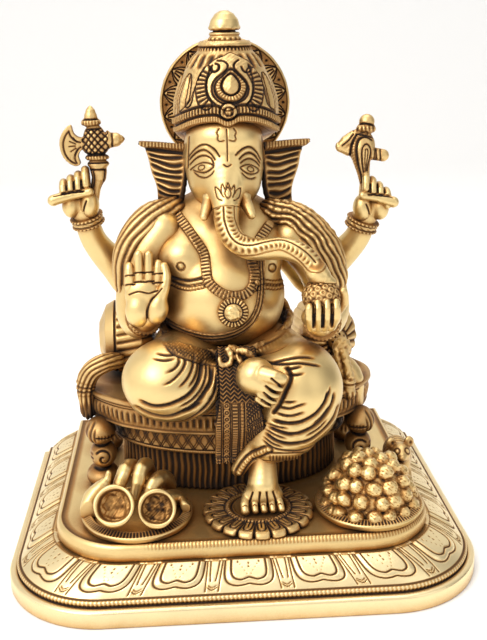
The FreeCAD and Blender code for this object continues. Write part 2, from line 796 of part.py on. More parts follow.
def make_ear(label, side, neighbours):
    """A broad fan-shaped ear, swept back a little."""
    outline = ((0, 14), (side * 27, 16), (side * 26, 4), (side * 21, -12), (side * 14, -24), (side * 8, -22),
               (0, -8))
    head_side = dim("skull_x") + dim("skull_rx") * side
    centre = (head_side, dim("ear_y"), dim("skull_z") - 7)
    turn = FreeCAD.Rotation(Z_AXIS, 12 * side)
    ear = plate(label, "XZ_Plane", outline, dim("ear_thickness"), centre, turn)
    return sub_part(label, carved(ear, neighbours))


def make_crown(neighbours):
    """The domed crown over the head."""
    radius = dim("crown_radius")
    height = dim("crown_height")
    profile = ((0, 0), (radius, 0), (radius + 1, height * 0.16), (radius, height * 0.34),
               (radius * 0.84, height * 0.6), (radius * 0.68, height * 0.79), (radius * 0.48, height * 0.93),
               (radius * 0.4, height), (0, height))
    centre = (dim("crown_x"), dim("crown_y"), dim("crown_low"))
    return sub_part("crown", carved(turned("crown", profile, centre), neighbours))


def make_finial():
    """The turned knob on top of the crown."""
    radius = dim("finial_radius")
    height = dim("finial_height")
    profile = ((0, 0), (radius, 0), (radius, height * 0.14), (radius * 0.76, height * 0.24),
               (radius * 0.68, height * 0.45), (radius * 0.8, height * 0.58), (radius * 0.72, height * 0.84),
               (radius * 0.4, height), (0, height))
    centre = (dim("crown_x"), dim("crown_y"), dim("crown_low") + dim("crown_height"))
    return sub_part("crown_finial", turned("crown_finial", profile, centre))


def make_halo(neighbours):
    """The round petalled disc behind the crown, tipped forward at the top."""
    radius = dim("halo_radius")
    deep = dim("halo_thickness")
    profile = ((0, 0), (radius, 0), (radius, deep * 0.6), (radius - 3, deep), (0, deep))
    centre = (dim("halo_x"), dim("halo_y"), dim("halo_z"))
    turn = FreeCAD.Rotation(X_AXIS, 98)
    return sub_part("halo", carved(turned("halo", profile, centre, turn), neighbours))


def make_axe():
    """The axe that the rear left hand holds: haft, block, fan blade, back spike and tip."""
    x = dim("axe_x")
    y = dim("attribute_y")
    block_z = dim("axe_block_z")
    reach = dim("axe_top") - block_z
    haft = rod("axe_haft", dim("haft_radius"), block_z - dim("haft_low"), (x, y, dim("haft_low")))
    tip = cone("axe_tip", dim("haft_radius") * 2, dim("haft_radius") / 2, reach, (x, y, block_z))
    back = FreeCAD.Rotation(Y_AXIS, 90)
    root, point = dim("haft_radius") * 2, dim("haft_radius") / 2
    spike = cone("axe_spike", root, point, reach - 1, (x, y, block_z), back)
    outline = ((0, 3), (-12, 12), (-17, 7), (-18, -3), (-15, -12), (0, -3))
    blade = plate("axe_blade", "XZ_Plane", outline, dim("blade_thickness"), (x, y, block_z))
    return sub_part("axe", fused("axe", [haft, tip, spike, blade, mass("axe_block")]))


def make_goad():
    """The curled goad that the rear right hand holds."""
    x = dim("goad_x")
    y = dim("attribute_y")
    body_z = dim("goad_body_z")
    haft = rod("goad_haft", dim("haft_radius"), body_z - dim("haft_low"), (x, y, dim("haft_low")))
    reach = dim("goad_top") - body_z
    tip = cone("goad_tip", dim("haft_radius") * 2, dim("haft_radius") / 2, reach, (x, y, body_z))
    pieces = [haft, tip, mass("goad_body"), limb("goad_curl"), limb("goad_peg")]
    return sub_part("goad", fused("goad", pieces))


def make_arm(label, neighbours):
    """An arm bent at the elbow: the upper arm and the forearm."""
    return make_joined(label, [], [label + "_upper", label + "_lower"], neighbours)


def cuff(label, arm, neighbours):
    """A ribbed bracelet just behind a wrist."""
    route = ROUTES[arm + "_lower"]
    stem = "%s_lower_%d_" % (arm, len(route))
    ahead = FreeCAD.Vector(*route[-1][:3])
    behind = FreeCAD.Vector(*route[-2][:3])
    along = (ahead - behind).normalize()
    radius = dim(stem + "r") + dim("cuff_thickness")
    setback = dim("cuff_length") + dim("cuff_thickness")
    base = [dim(stem + axis) - setback * part for axis, part in zip("xyz", along)]
    ring = rod(label + "_ring", radius, dim("cuff_length"), base, FreeCAD.Rotation(Z_AXIS, along))
    return carved(ring, neighbours)


def make_blessing_hand(neighbours):
    """The raised open hand: a flat palm, four fingers and the thumb."""
    pieces = [mass("palm_blessing"), limb("thumb_blessing")]
    for index in range(1, 5):
        stem = "finger_%d_" % index
        root = (dim(stem + "root_x"), dim("palm_blessing_y"), dim("palm_blessing_z") + 4)
        length = dim(stem + "tip_z") - root[2]
        pieces.append(cone(stem + "form", 3.2, 2.4, length, root))
    return sub_part("front_hand_left", carved(fused("front_hand_left", pieces), neighbours))


def make_joined(label, masses, routes, neighbours):
    """A casting of several rounded masses and limbs."""
    pieces = [mass(name) for name in masses] + [limb(name) for name in routes]
    return sub_part(label, carved(fused(label, pieces), neighbours))


def make_sash(neighbours):
    """The patterned panel that hangs from the waist over the shin and the front of the throne."""
    top = dim("sash_top")
    low = dim("sash_bottom")
    y = dim("sash_y")
    out = dim("sash_bulge")
    deep = dim("sash_thickness")
    profile = ((y + 6, top), (y - out * 0.4, top - 7), (y - out, top - 20), (y - out, top - 36),
               (y - 5, top - 52), (y, low), (y - deep, low), (y - deep - 5, top - 52),
               (y - out - deep, top - 36),
               (y - out - deep, top - 20), (y - out * 0.4 - deep, top - 5), (y + 6 - deep, top + 2))
    panel = plate("sash_panel", "YZ_Plane", profile, dim("sash_width"), (dim("sash_x"), 0, 0))
    return sub_part("sash_panel", carved(panel, neighbours))


# ---- Fasteners, inside ----

def hex_head(name, across, height, base):
    """A six-sided bolt head."""
    item = doc.addObject("Part::Prism", name)
    item.Polygon = 6
    bind(item, "Circumradius", across)
    bind(item, "Height", height)
    place(item, base)
    return item


def make_tie_bolt():
    """The long bolt from beneath the deck through the seat into the figure."""
    x = dim("throne_x")
    y = dim("tie_y")
    under = DECK_LOW + dim("deck_height") - dim("deck_plate")
    seat_face = under - dim("washer_height")
    shank = rod("tie_shank", dim("tie_radius"), dim("tie_length"), (x, y, seat_face - 1))
    base = (x, y, seat_face - dim("head_height"))
    head = hex_head("tie_head", dim("tie_radius") * 1.8, dim("head_height"), base)
    return sub_part("figure_tie_bolt", fused("tie_bolt", [shank, head]))


def make_washer(bolt):
    """The wide washer between the long bolt's head and the deck."""
    under = DECK_LOW + dim("deck_height") - dim("deck_plate")
    base = (dim("throne_x"), dim("tie_y"), under - dim("washer_height"))
    washer = rod("washer", dim("washer_radius"), dim("washer_height"), base)
    return sub_part("tie_washer", carved(washer, [bolt]))


def make_throne_bolts():
    """The four bolts that hold the throne's skirt to the deck from beneath."""
    bolts = []
    under = DECK_LOW + dim("deck_height") - dim("deck_plate")
    middle = dim("throne_wall") / 2 + 2
    for side in (-1, 1):
        for end in (-1, 1):
            x = dim("throne_x") + (dim("skirt_half_x") - middle) * math.sqrt(0.5) * side
            y = dim("throne_y") + (dim("skirt_half_y") - middle) * math.sqrt(0.5) * end
            shank = rod("bolt_shank", dim("bolt_radius"), dim("bolt_length"), (x, y, under - 1))
            base = (x, y, under - dim("head_height"))
            head = hex_head("bolt_head", dim("bolt_radius") * 1.9, dim("head_height"), base)
            bolts.append(fused("bolt", [shank, head]))
    return sub_part("throne_bolts", grouped("throne_bolts", bolts))


def tie_hole(low, height):
    """Room for the long bolt to pass."""
    radius = dim("tie_radius") + dim("bolt_clearance")
    return rod("tie_hole", radius, height, (dim("throne_x"), dim("tie_y"), low))


# ---- The whole idol, from the floor up ----

make_plinth_rim()
tie_bolt = make_tie_bolt()
make_washer(tie_bolt)
throne_bolts = make_throne_bolts()
deck_blank = make_deck_blank()
deck_hole = tie_hole(DECK_LOW, dim("deck_height") + 1)
sub_part("plinth_deck", carved(deck_blank, [deck_hole, throne_bolts]))
footrest = make_footrest()
sweets_dish = make_dish("sweets_dish", "sweets_dish")
fruit_dish = make_dish("fruit_dish", "fruit_dish")
sweets_heap = make_sweets_heap(sweets_dish)
cup_left = make_cup("coconut_half_left", "cup_left_x", -8, [fruit_dish, deck_blank])
cup_right = make_cup("coconut_half_right", "cup_right_x", 8, [fruit_dish, deck_blank])
make_bananas([fruit_dish, cup_left, cup_right])
make_mouse([deck_blank, sweets_dish, sweets_heap])

seat_blank = make_seat_blank()
skirt = sub_part("throne_skirt", carved(oval_ring("skirt", "skirt", SKIRT_LOW), [throne_bolts]))
apron = sub_part("throne_apron", oval_ring("apron", "apron", APRON_LOW))
make_seat(seat_blank)
for end_name, end in (("front", -1), ("rear", 1)):
    for side_name, side in (("left", -1), ("right", 1)):
        label = "throne_foot_%s_%s" % (end_name, side_name)
        make_throne_foot(label, side, end, [deck_blank, seat_blank, apron, skirt])

torso = make_torso([seat_blank, tie_bolt])
head = make_head([torso])
trunk = make_limb_part("trunk", [head, torso])
for label in ("tusk_left", "tusk_right"):
    make_limb_part(label, [head, trunk])
crown = make_crown([head])
make_finial()
make_ear("ear_left", -1, [head])
make_ear("ear_right", 1, [head])
make_halo([crown])

axe = make_axe()
goad = make_goad()
rear_arms = {}
rear_cuffs = []
for side_name, attribute in (("left", axe), ("right", goad)):
    arm = make_arm("rear_arm_" + side_name, [torso, attribute])
    masses = ["fist_" + side_name]
    hand = make_joined("rear_hand_" + side_name, masses, ["finger_" + side_name], [arm, attribute])
    rear_cuffs.append(cuff("rear_cuff_" + side_name, "rear_arm_" + side_name, [arm, hand, attribute]))
    rear_arms[side_name] = arm
sub_part("rear_cuffs", grouped("rear_cuffs", rear_cuffs))

leg_left = make_joined("leg_left", ["knee_left"], ["thigh_left", "shin_left"], [torso, seat_blank])
beside = [torso, seat_blank, leg_left]
leg_right = make_joined("leg_right", ["knee_right"], ["thigh_right", "shin_right"], beside)
foot_left = make_joined("foot_left", ["sole_left"], [], [leg_left, leg_right])
foot_right = make_joined("foot_right", ["instep_right", "toes_right"], [], [leg_right, footrest])

arm_left = make_arm("front_arm_left", [torso, rear_arms["left"]])
hand_left = make_blessing_hand([arm_left])
cuff_left = cuff("front_cuff_left", "front_arm_left", [arm_left, hand_left])
arm_right = make_arm("front_arm_right", [torso, rear_arms["right"]])
sweet_ball = sub_part("sweet_ball", mass("sweet_ball"))
hand_right = make_joined("front_hand_right", ["palm_offering"], ["thumb_offering"], [arm_right, sweet_ball])
cuff_right = cuff("front_cuff_right", "front_arm_right", [arm_right, hand_right])
sub_part("front_cuffs", grouped("front_cuffs", [cuff_left, cuff_right]))
make_limb_part("shawl_left", [torso, arm_left, rear_arms["left"]])
make_limb_part("shawl_right", [torso, arm_right, rear_arms["right"]])

bolster_left = make_bolster("bolster_left", "bolster_left_x", [seat_blank, leg_left])
bolster_right = make_bolster("bolster_right", "bolster_right_x", [seat_blank])
make_limb_part("drape_left", [seat_blank])
drape_right = make_limb_part("drape_right", [seat_blank])
make_joined("bolster_tassel", ["tassel_knot"], ["tassel"], [bolster_right, drape_right])

make_belt([torso, leg_left, leg_right])
make_sash([torso, leg_left, leg_right, foot_left, foot_right])
necklace = make_worn_loop("necklace", oval_loop("necklace", "collar"), [torso, head])
sub_part("pendant", carved(mass("pendant"), [torso, necklace]))
below_collar = slab("thread_limit", 0, dim("thread_z") - 6)
thread_cutter = common("thread_lower", oval_loop("thread", "thread"), below_collar)
make_worn_loop("sacred_thread", thread_cutter, [torso])

doc.recompute()


def check_document():
    """Stop on any feature that failed and any sub-part without a sound shape."""
    for item in doc.Objects:
        if "Invalid" in item.State or "Error" in item.State:
            raise RuntimeError("%s is %s" % (item.Label, item.State))
    for item in sub_parts:
        if item.Shape.isNull() or not item.Shape.isValid():
            raise RuntimeError("%s has no valid shape" % item.Label)


def write_parts():
    """Write one STEP file for each sub-part."""
    os.makedirs("parts", exist_ok=True)
    for item in sub_parts:
        item.Shape.exportStep("parts/%s.step" % item.Label)


check_document()
write_parts()
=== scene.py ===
"""Looks of a seated elephant-headed deity in cast brass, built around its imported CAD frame.

Lengths are in millimetres until a mesh is made, in the frame of the CAD model: +Z is up, the idol faces -Y,
left is -X and right is +X as seen by somebody who faces it.
"""
import math

import bpy
import numpy as np
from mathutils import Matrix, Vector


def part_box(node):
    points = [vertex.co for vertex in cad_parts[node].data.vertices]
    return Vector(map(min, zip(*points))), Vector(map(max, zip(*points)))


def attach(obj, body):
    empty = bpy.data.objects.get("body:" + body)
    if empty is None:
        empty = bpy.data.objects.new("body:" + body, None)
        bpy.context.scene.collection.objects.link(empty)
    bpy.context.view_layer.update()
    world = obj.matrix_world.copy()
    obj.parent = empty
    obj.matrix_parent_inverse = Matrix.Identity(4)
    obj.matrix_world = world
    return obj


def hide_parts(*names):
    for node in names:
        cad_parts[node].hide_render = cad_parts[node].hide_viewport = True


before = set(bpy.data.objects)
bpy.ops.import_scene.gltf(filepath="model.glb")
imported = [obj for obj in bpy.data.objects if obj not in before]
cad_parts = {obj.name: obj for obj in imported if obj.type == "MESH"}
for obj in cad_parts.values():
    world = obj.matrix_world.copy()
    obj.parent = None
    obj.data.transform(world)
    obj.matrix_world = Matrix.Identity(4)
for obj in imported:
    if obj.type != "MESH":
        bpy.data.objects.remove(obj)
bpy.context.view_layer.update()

import openvdb
from mathutils import Matrix, Vector

MM = 0.001
FAR = 30.0
TURN = 2 * math.pi
rng = np.random.default_rng(7)


# ---- Places from the frame ----

def span(node):
    """The lowest and highest corner of a CAD node, in millimetres."""
    low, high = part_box(node)
    return np.array(low) / MM, np.array(high) / MM


def middle(node):
    """The middle of a CAD node's box, in millimetres."""
    low, high = span(node)
    return (low + high) / 2


# ---- Small shaping functions ----

def ease(x):
    """0 below 0, 1 above 1, and a smooth step between."""
    x = np.clip(x, 0, 1)
    return x * x * (3 - 2 * x)


def bump(x, half):
    """A round bump of height 1 at 0 that dies out at half."""
    return ease(1 - np.abs(x) / half)


def wave(x, pitch):
    """A rounded ripple from 0 to 1, highest at whole pitches."""
    return 0.5 + 0.5 * np.cos(TURN * x / pitch)


def repeat(x, pitch):
    """Distance from the nearest whole pitch, signed."""
    return x - pitch * np.round(x / pitch)


def noise(points, size, seed=0):
    """A cheap smooth random field, about -1 to 1, with features of the given size."""
    drawn = np.random.default_rng(seed)
    total = np.zeros(len(points))
    for _ in range(5):
        heading = drawn.normal(size=3)
        heading /= np.linalg.norm(heading)
        total += np.sin(points @ heading * TURN / (size * drawn.uniform(0.7, 1.4)) + drawn.uniform(0, TURN))
    return total / 3


def smooth_curve(points, closed=False, step=0.7):
    """A curve through given points, as short straight steps."""
    points = np.array(points, float)
    if len(points) == 2:
        return points
    count = len(points)
    pieces = []
    for index in range(count if closed else count - 1):
        if closed:
            before, here, there, after = (points[(index + shift) % count] for shift in (-1, 0, 1, 2))
        else:
            before, here = points[max(index - 1, 0)], points[index]
            there, after = points[index + 1], points[min(index + 2, count - 1)]
        steps = max(2, int(np.linalg.norm(there - here) / step))
        share = (np.arange(steps) / steps)[:, None]
        pieces.append(0.5 * (2 * here + (there - before) * share
                             + (2 * before - 5 * here + 4 * there - after) * share ** 2
                             + (3 * here - before - 3 * there + after) * share ** 3))
    pieces.append(points[:1] if closed else points[-1:])
    return np.concatenate(pieces)


def track(u, v, points, reach, closed=False):
    """For each (u, v): the signed distance to a smooth curve, the length along it, and its whole length."""
    curve = smooth_curve(points, closed)
    away = np.full(len(u), FAR)
    along = np.zeros(len(u))
    low = curve.min(0) - reach
    high = curve.max(0) + reach
    near = np.flatnonzero((u > low[0]) & (u < high[0]) & (v > low[1]) & (v < high[1]))
    if not len(near):
        return away, along, 1.0
    place = np.stack([u[near], v[near]], 1)
    best = np.full(len(near), FAR)
    where = np.zeros(len(near))
    run = 0.0
    for start, end in zip(curve[:-1], curve[1:]):
        heading = end - start
        length = max(float(np.hypot(*heading)), 1e-6)
        heading = heading / length
        offset = place - start
        ahead = np.clip(offset @ heading, 0, length)
        gap = offset - ahead[:, None] * heading
        distance = np.hypot(gap[:, 0], gap[:, 1])
        side = np.where(heading[0] * gap[:, 1] - heading[1] * gap[:, 0] < 0, -1.0, 1.0)
        nearer = distance < np.abs(best)
        best = np.where(nearer, distance * side, best)
        where = np.where(nearer, run + ahead, where)
        run += length
    away[near] = best
    along[near] = where
    return away, along, run


# ---- A surface and its relief ----

class Form:
    """A surface of points and faces, with a relief to be raised from it and a patina that darkens it."""

    def __init__(self, points, faces):
        self.points = np.asarray(points, float)
        self.faces = np.asarray(faces, np.int64)
        self.patina = np.zeros(len(self.points))
        self.relief = np.zeros(len(self.points))
        self.normals = self.facing()

    def facing(self):
        """The outward direction at each point."""
        p, f = self.points, self.faces
        across = np.cross(p[f[:, 2]] - p[f[:, 0]], p[f[:, 3]] - p[f[:, 1]])
        total = np.stack([sum(np.bincount(f[:, corner], across[:, axis], len(p)) for corner in range(4))
                          for axis in range(3)], 1)
        return total / np.maximum(np.linalg.norm(total, axis=1), 1e-9)[:, None]

    def settle(self):
        """Raise the relief into the shape."""
        self.points = self.points + self.normals * self.relief[:, None]
        self.relief[:] = 0
        self.normals = self.facing()
        return self

    def stain(self, amount):
        """Darken where the amount is higher than what is there."""
        self.patina = np.maximum(self.patina, amount)

    def groove(self, u, v, points, half=0.7, depth=0.6, closed=False, where=1.0, taper=0):
        """Engrave a line along a curve, tapered at its ends if asked."""
        away, along, total = track(u, v, points, half, closed)
        cut = bump(away, half) * where
        if taper:
            cut = cut * ease(along / taper + 0.1) * ease((total - along) / taper + 0.1)
        self.relief -= depth * cut
        self.stain(cut)

    def cord(self, u, v, points, half=1.0, height=0.8, pitch=0, closed=False, where=1.0):
        """Raise a rounded line along a curve, beaded if it has a pitch, with dark edges."""
        away, along, _ = track(u, v, points, half * 2, closed)
        raised = bump(away, half) * where
        if pitch:
            raised = raised * (0.35 + 0.65 * wave(along, pitch))
        self.relief += height * raised
        edge = bump(np.abs(away) - half, half * 0.6) * where
        self.relief -= 0.3 * height * edge
        self.stain(0.8 * edge + (0.5 * (bump(away, half) * where - raised) if pitch else 0))

    def edges(self):
        """Every face side as a pair of points."""
        f = self.faces
        return np.concatenate([f[:, [0, 1]], f[:, [1, 2]], f[:, [2, 3]], f[:, [3, 0]]])

    def hollowness(self, rounds):
        """How far each point lies below (+) or above (-) its smoothed surroundings."""
        pairs = self.edges()
        pairs = pairs[pairs[:, 0] != pairs[:, 1]]
        one = np.concatenate([pairs[:, 0], pairs[:, 1]])
        other = np.concatenate([pairs[:, 1], pairs[:, 0]])
        weight = np.maximum(np.bincount(one, minlength=len(self.points)), 1)
        smooth = self.points.copy()
        for _ in range(rounds):
            for axis in range(3):
                pulled = np.bincount(one, smooth[other, axis], len(self.points)) / weight
                smooth[:, axis] = 0.5 * smooth[:, axis] + 0.5 * pulled
        return ((smooth - self.points) * self.normals).sum(1)

    def peel(self, where, thickness):
        """The part of the surface inside a mask as an open strip of its own; the thickness is only kept on
        the strip.
        """
        inside = where[self.faces].all(1)
        used = np.unique(self.faces[inside])
        index = np.full(len(self.points), -1)
        index[used] = np.arange(len(used))
        strip = Form(self.points[used], index[self.faces[inside]])
        strip.normals = self.normals[used]
        strip.source = used
        strip.thickness = thickness
        return strip

    def close_back(self, thickness):
        """Turn an open strip into a closed one by giving it a back face and sides."""
        count = len(self.points)
        back = self.points - self.normals * thickness
        pairs = self.edges()
        code = pairs[:, 0] * count + pairs[:, 1]
        mirror = pairs[:, 1] * count + pairs[:, 0]
        rim = pairs[~np.isin(code, mirror) & (pairs[:, 0] != pairs[:, 1])]
        sides = np.stack([rim[:, 1], rim[:, 0], rim[:, 0] + count, rim[:, 1] + count], 1)
        closed = Form(np.concatenate([self.points, back]),
                      np.concatenate([self.faces, self.faces[:, ::-1] + count, sides]))
        closed.patina[:count] = self.patina
        closed.patina[count:] = 1
        return closed


def joined(forms):
    """Several forms as one, still separate shells."""
    points, faces, patina, total = [], [], [], 0
    for form in forms:
        points.append(form.points)
        faces.append(form.faces + total)
        patina.append(form.patina)
        total += len(form.points)
    whole = Form(np.concatenate(points), np.concatenate(faces))
    whole.patina = np.concatenate(patina)
    return whole


def wrapped(rows, low_pole=False, high_pole=False, ring=False):
    """A surface from rows of points that close on themselves. Rows go up as columns go anticlockwise."""
    count, columns = rows.shape[:2]
    points = rows.reshape(-1, 3)
    row = np.arange(count if ring else count - 1)[:, None] * columns
    row_above = ((np.arange(count if ring else count - 1) + 1) % count)[:, None] * columns
    column = np.arange(columns)[None]
    onward = (np.arange(columns) + 1)[None] % columns
    quads = (row + column, row + onward, row_above + onward, row_above + column)
    faces = [np.stack(quads, -1).reshape(-1, 4)]
    extra = []
    for wanted, line, order in ((low_pole, 0, (1, 0)), (high_pole, count - 1, (0, 1))):
        if wanted:
            pole = len(points) + len(extra)
            extra.append(rows[line].mean(0))
            here = line * columns + column[0]
            there = line * columns + onward[0]
            pair = (here, there) if order == (0, 1) else (there, here)
            centre = np.full(columns, pole)
            faces.append(np.stack([pair[0], pair[1], centre, centre], 1))
    if extra:
        points = np.concatenate([points, extra])
    return Form(points, np.concatenate(faces))


def sheet_of(rows):
    """An open surface from rows of points, facing columns crossed with rows."""
    count, columns = rows.shape[:2]
    row = np.arange(count - 1)[:, None] * columns
    column = np.arange(columns - 1)[None]
    faces = np.stack([row + column, row + column + 1, row + columns + column + 1, row + columns + column], -1)
    return Form(rows.reshape(-1, 3), faces.reshape(-1, 4))


# ---- Clay: rounded forms blended into one another ----

class Clay:
    """A solid modelled as distances on a grid, negative inside."""

    def __init__(self, low, high, step=0.7):
        self.low = np.array(low, float)
        self.step = step
        counts = np.ceil((np.array(high, float) - self.low) / step).astype(int) + 1
        self.axes = [self.low[axis] + step * np.arange(counts[axis]) for axis in range(3)]
        self.field = np.full(counts, FAR, np.float32)

    def patch(self, low, high):
        """The grid cells in a box, and their coordinates."""
        cells = []
        for axis in range(3):
            start = np.searchsorted(self.axes[axis], low[axis])
            end = np.searchsorted(self.axes[axis], high[axis], "right")
            cells.append(slice(int(start), int(max(end, start + 1))))
        x, y, z = (self.axes[axis][cells[axis]] for axis in range(3))
        return tuple(cells), (x[:, None, None], y[None, :, None], z[None, None, :])

    def merge(self, cells, distance, blend, dig=False):
        """Add a shape, or dig it out, with a rounded seam."""
        here = self.field[cells]
        if dig:
            gap = np.maximum(blend - np.abs(here + distance), 0) / blend
            self.field[cells] = np.maximum(here, -distance) + gap * gap * blend / 4
        else:
            gap = np.maximum(blend - np.abs(here - distance), 0) / blend
            self.field[cells] = np.minimum(here, distance) - gap * gap * blend / 4

    def oval(self, centre, radii, blend=2.0, turn=(0, 0, 0), dig=False):
        """A rounded mass, turned about x, y and z in degrees."""
        centre = np.array(centre, float)
        reach = max(radii) + blend + 2 * self.step
        cells, (x, y, z) = self.patch(centre - reach, centre + reach)
        spin = np.array(Matrix.Rotation(math.radians(turn[2]), 3,
                                        "Z") @ Matrix.Rotation(math.radians(turn[1]), 3, "Y")
                        @ Matrix.Rotation(math.radians(turn[0]), 3, "X"))
        x, y, z = x - centre[0], y - centre[1], z - centre[2]
        local = [(spin[0, axis] * x + spin[1, axis] * y + spin[2, axis] * z) / radii[axis]
                 for axis in range(3)]
        size = np.sqrt(local[0] ** 2 + local[1] ** 2 + local[2] ** 2)
        slope = np.sqrt(sum((part / radius) ** 2 for part, radius in zip(local, radii)))
        distance = size * (size - 1) / np.maximum(slope, 1e-6)
        self.merge(cells, distance.astype(np.float32), blend, dig)
        return self

    def limb(self, stations, blend=2.0, dig=False):
        """A tapering limb through stations of x, y, z and radius."""
        route = smooth_curve([station[:4] for station in stations], step=3.0)
        reach = route[:, 3].max() + blend + 2 * self.step
        cells, (x, y, z) = self.patch(route[:, :3].min(0) - reach, route[:, :3].max(0) + reach)
        shape = np.broadcast_shapes(x.shape, y.shape, z.shape)
        best = np.full(shape, FAR, np.float32)
        for start, end in zip(route[:-1], route[1:]):
            heading = end[:3] - start[:3]
            length2 = max(float(heading @ heading), 1e-9)
            ahead = ((x - start[0]) * heading[0] + (y - start[1]) * heading[1] + (z - start[2])
                     * heading[2]) / length2
            ahead = np.clip(ahead, 0, 1)
            gap = np.sqrt((x - start[0] - ahead * heading[0]) ** 2 + (y - start[1] - ahead * heading[1]) ** 2
                          + (z - start[2] - ahead * heading[2]) ** 2)
            best = np.minimum(best, gap - (start[3] + ahead * (end[3] - start[3])))
        self.merge(cells, best, blend, dig)
        return self

    def flatten(self, point, facing, blend=1.0):
        """Cut everything beyond a plane."""
        facing = np.array(facing, float)
        facing /= np.linalg.norm(facing)
        cells, (x, y, z) = self.patch(self.low, [axis[-1] for axis in self.axes])
        beyond = (x - point[0]) * facing[0] + (y - point[1]) * facing[1] + (z - point[2]) * facing[2]
        self.merge(cells, (-beyond).astype(np.float32), blend, dig=True)
        return self

    def form(self):
        """The surface of the clay."""
        self.field[[0, -1]] = FAR
        self.field[:, [0, -1]] = FAR
        self.field[:, :, [0, -1]] = FAR
        grid = openvdb.FloatGrid(FAR)
        grid.copyFromArray(self.field)
        points, quads = grid.convertToQuads(0.0)
        return Form(points * self.step + self.low, quads.astype(np.int64))


# ---- Materials ----

def material(name):
    """An empty node material, its shader and a function that adds linked nodes."""
    made = bpy.data.materials.new(name)
    made.use_nodes = True
    tree = made.node_tree
    shader = tree.nodes["Principled BSDF"]

    def node(kind, inputs=(), **settings):
        item = tree.nodes.new(kind)
        for key, value in settings.items():
            setattr(item, key, value)
        for key, value in dict(inputs).items():
            if isinstance(value, bpy.types.NodeSocket):
                tree.links.new(value, item.inputs[key])
            else:
                item.inputs[key].default_value = value
        return item

    return made, tree, shader, node


def brass(name, clean, shade_and_patina_brown, roughness, painted_shade_share):
    """Antiqued brass: clean and glossier where it lies open, orange-brown painted shade in its hollows,
    nearly black patina in its grooves.
    """
    made, tree, shader, node = material(name)
    place = node("ShaderNodeTexCoord").outputs["Object"]
    patina = node("ShaderNodeAttribute", attribute_name="patina").outputs["Fac"]
    wear = node("ShaderNodeAttribute", attribute_name="wear").outputs["Fac"]
    open_sky = node("ShaderNodeAmbientOcclusion", {"Distance": 0.012}, samples=8).outputs["AO"]
    blotches = node("ShaderNodeTexNoise",
                    {"Vector": place, "Scale": 90, "Detail": 4, "Roughness": 0.6}).outputs["Fac"]
    specks = node("ShaderNodeTexNoise",
                  {"Vector": place, "Scale": 900, "Detail": 3, "Roughness": 0.7}).outputs["Fac"]
    clouds = node("ShaderNodeTexNoise",
                  {"Vector": place, "Scale": 22, "Detail": 3, "Roughness": 0.5}).outputs["Fac"]

    def number(kind, first, second, clamp=False):
        return node("ShaderNodeMath", {0: first, 1: second}, operation=kind, use_clamp=clamp).outputs[0]

    # Painted shade: the occlusion node darkens hollows and the places under or between parts, towards the
    # orange-brown stop.
    shade = number("SUBTRACT", 1.0, open_sky)
    hollow = number("MULTIPLY", shade, number("ADD", 0.55, number("MULTIPLY", blotches, 0.9)))
    speckle = number("MULTIPLY", number("SUBTRACT", specks, 0.5), 0.35)
    # The darkening adds the mesh's patina to this painted shade, with fine speckles.
    patina_and_painted_shade = number("ADD", number("MULTIPLY", patina, 0.92), number("MULTIPLY", hollow, painted_shade_share))
    patina_and_painted_shade = number("ADD", patina_and_painted_shade, number("MULTIPLY", speckle, number("ADD", patina_and_painted_shade, 0.12)), clamp=True)
    # The ramp runs from clean brass to the orange-brown of painted shade and mid patina, then to the dark
    # patina of grooves.
    ramp = node("ShaderNodeValToRGB", {"Fac": patina_and_painted_shade})
    stops = ((0.0, clean), (0.3, shade_and_patina_brown), (0.62, (0.16, 0.075, 0.022, 1)), (1.0, (0.022, 0.012, 0.008, 1)))
    ramp.color_ramp.elements.remove(ramp.color_ramp.elements[0])
    ramp.color_ramp.elements[0].position, ramp.color_ramp.elements[0].color = stops[0]
    for position, colour in stops[1:]:
        ramp.color_ramp.elements.new(position).color = colour
    tint = node("ShaderNodeMapRange",
                {"Value": clouds, "From Min": 0.3, "From Max": 0.7, "To Min": 0.9, "To Max": 1.06})
    colour = node("ShaderNodeMix", {0: 1.0, 6: ramp.outputs["Color"], 7: tint.outputs[0]}, data_type="RGBA",
                  blend_type="MULTIPLY").outputs[2]
    tree.links.new(colour, shader.inputs["Base Color"])
    dull = number("ADD", roughness, number("MULTIPLY", patina_and_painted_shade, 0.3))
    dull = number("ADD", dull, number("MULTIPLY", number("SUBTRACT", blotches, 0.5), 0.16))
    dull = number("SUBTRACT", dull, number("MULTIPLY", wear, 0.08), clamp=True)
    tree.links.new(dull, shader.inputs["Roughness"])
    metal = number("SUBTRACT", 1.0, number("MULTIPLY", patina_and_painted_shade, 0.45))
    tree.links.new(metal, shader.inputs["Metallic"])
    pits = node("ShaderNodeTexNoise",
                {"Vector": place, "Scale": 420, "Detail": 5, "Roughness": 0.65}).outputs["Fac"]
    skin = node("ShaderNodeBump", {"Strength": 0.12, "Distance": 0.0006, "Height": pits})
    brushed = node("ShaderNodeBump", {"Strength": 0.10, "Distance": 0.0008, "Height": blotches,
                                      "Normal": skin.outputs[0]})
    tree.links.new(brushed.outputs[0], shader.inputs["Normal"])
    return made


# The last two numbers are the roughness and the share of painted shade that the occlusion node lays in the
# hollows.
POLISHED = brass("polished_brass_look", (0.79, 0.59, 0.27, 1), (0.46, 0.23, 0.065, 1), 0.38, 0.7)
ANTIQUED = brass("antiqued_brass_look", (0.72, 0.50, 0.22, 1), (0.34, 0.16, 0.045, 1), 0.42, 1.1)
# Painted light: a paler copy of the brass with less painted shade, for the brightly lit plinth rim.
PAINTED_LIGHT_BRASS = brass("painted_light_brass_look", (0.92, 0.75, 0.43, 1), (0.58, 0.34, 0.12, 1), 0.36, 0.4)


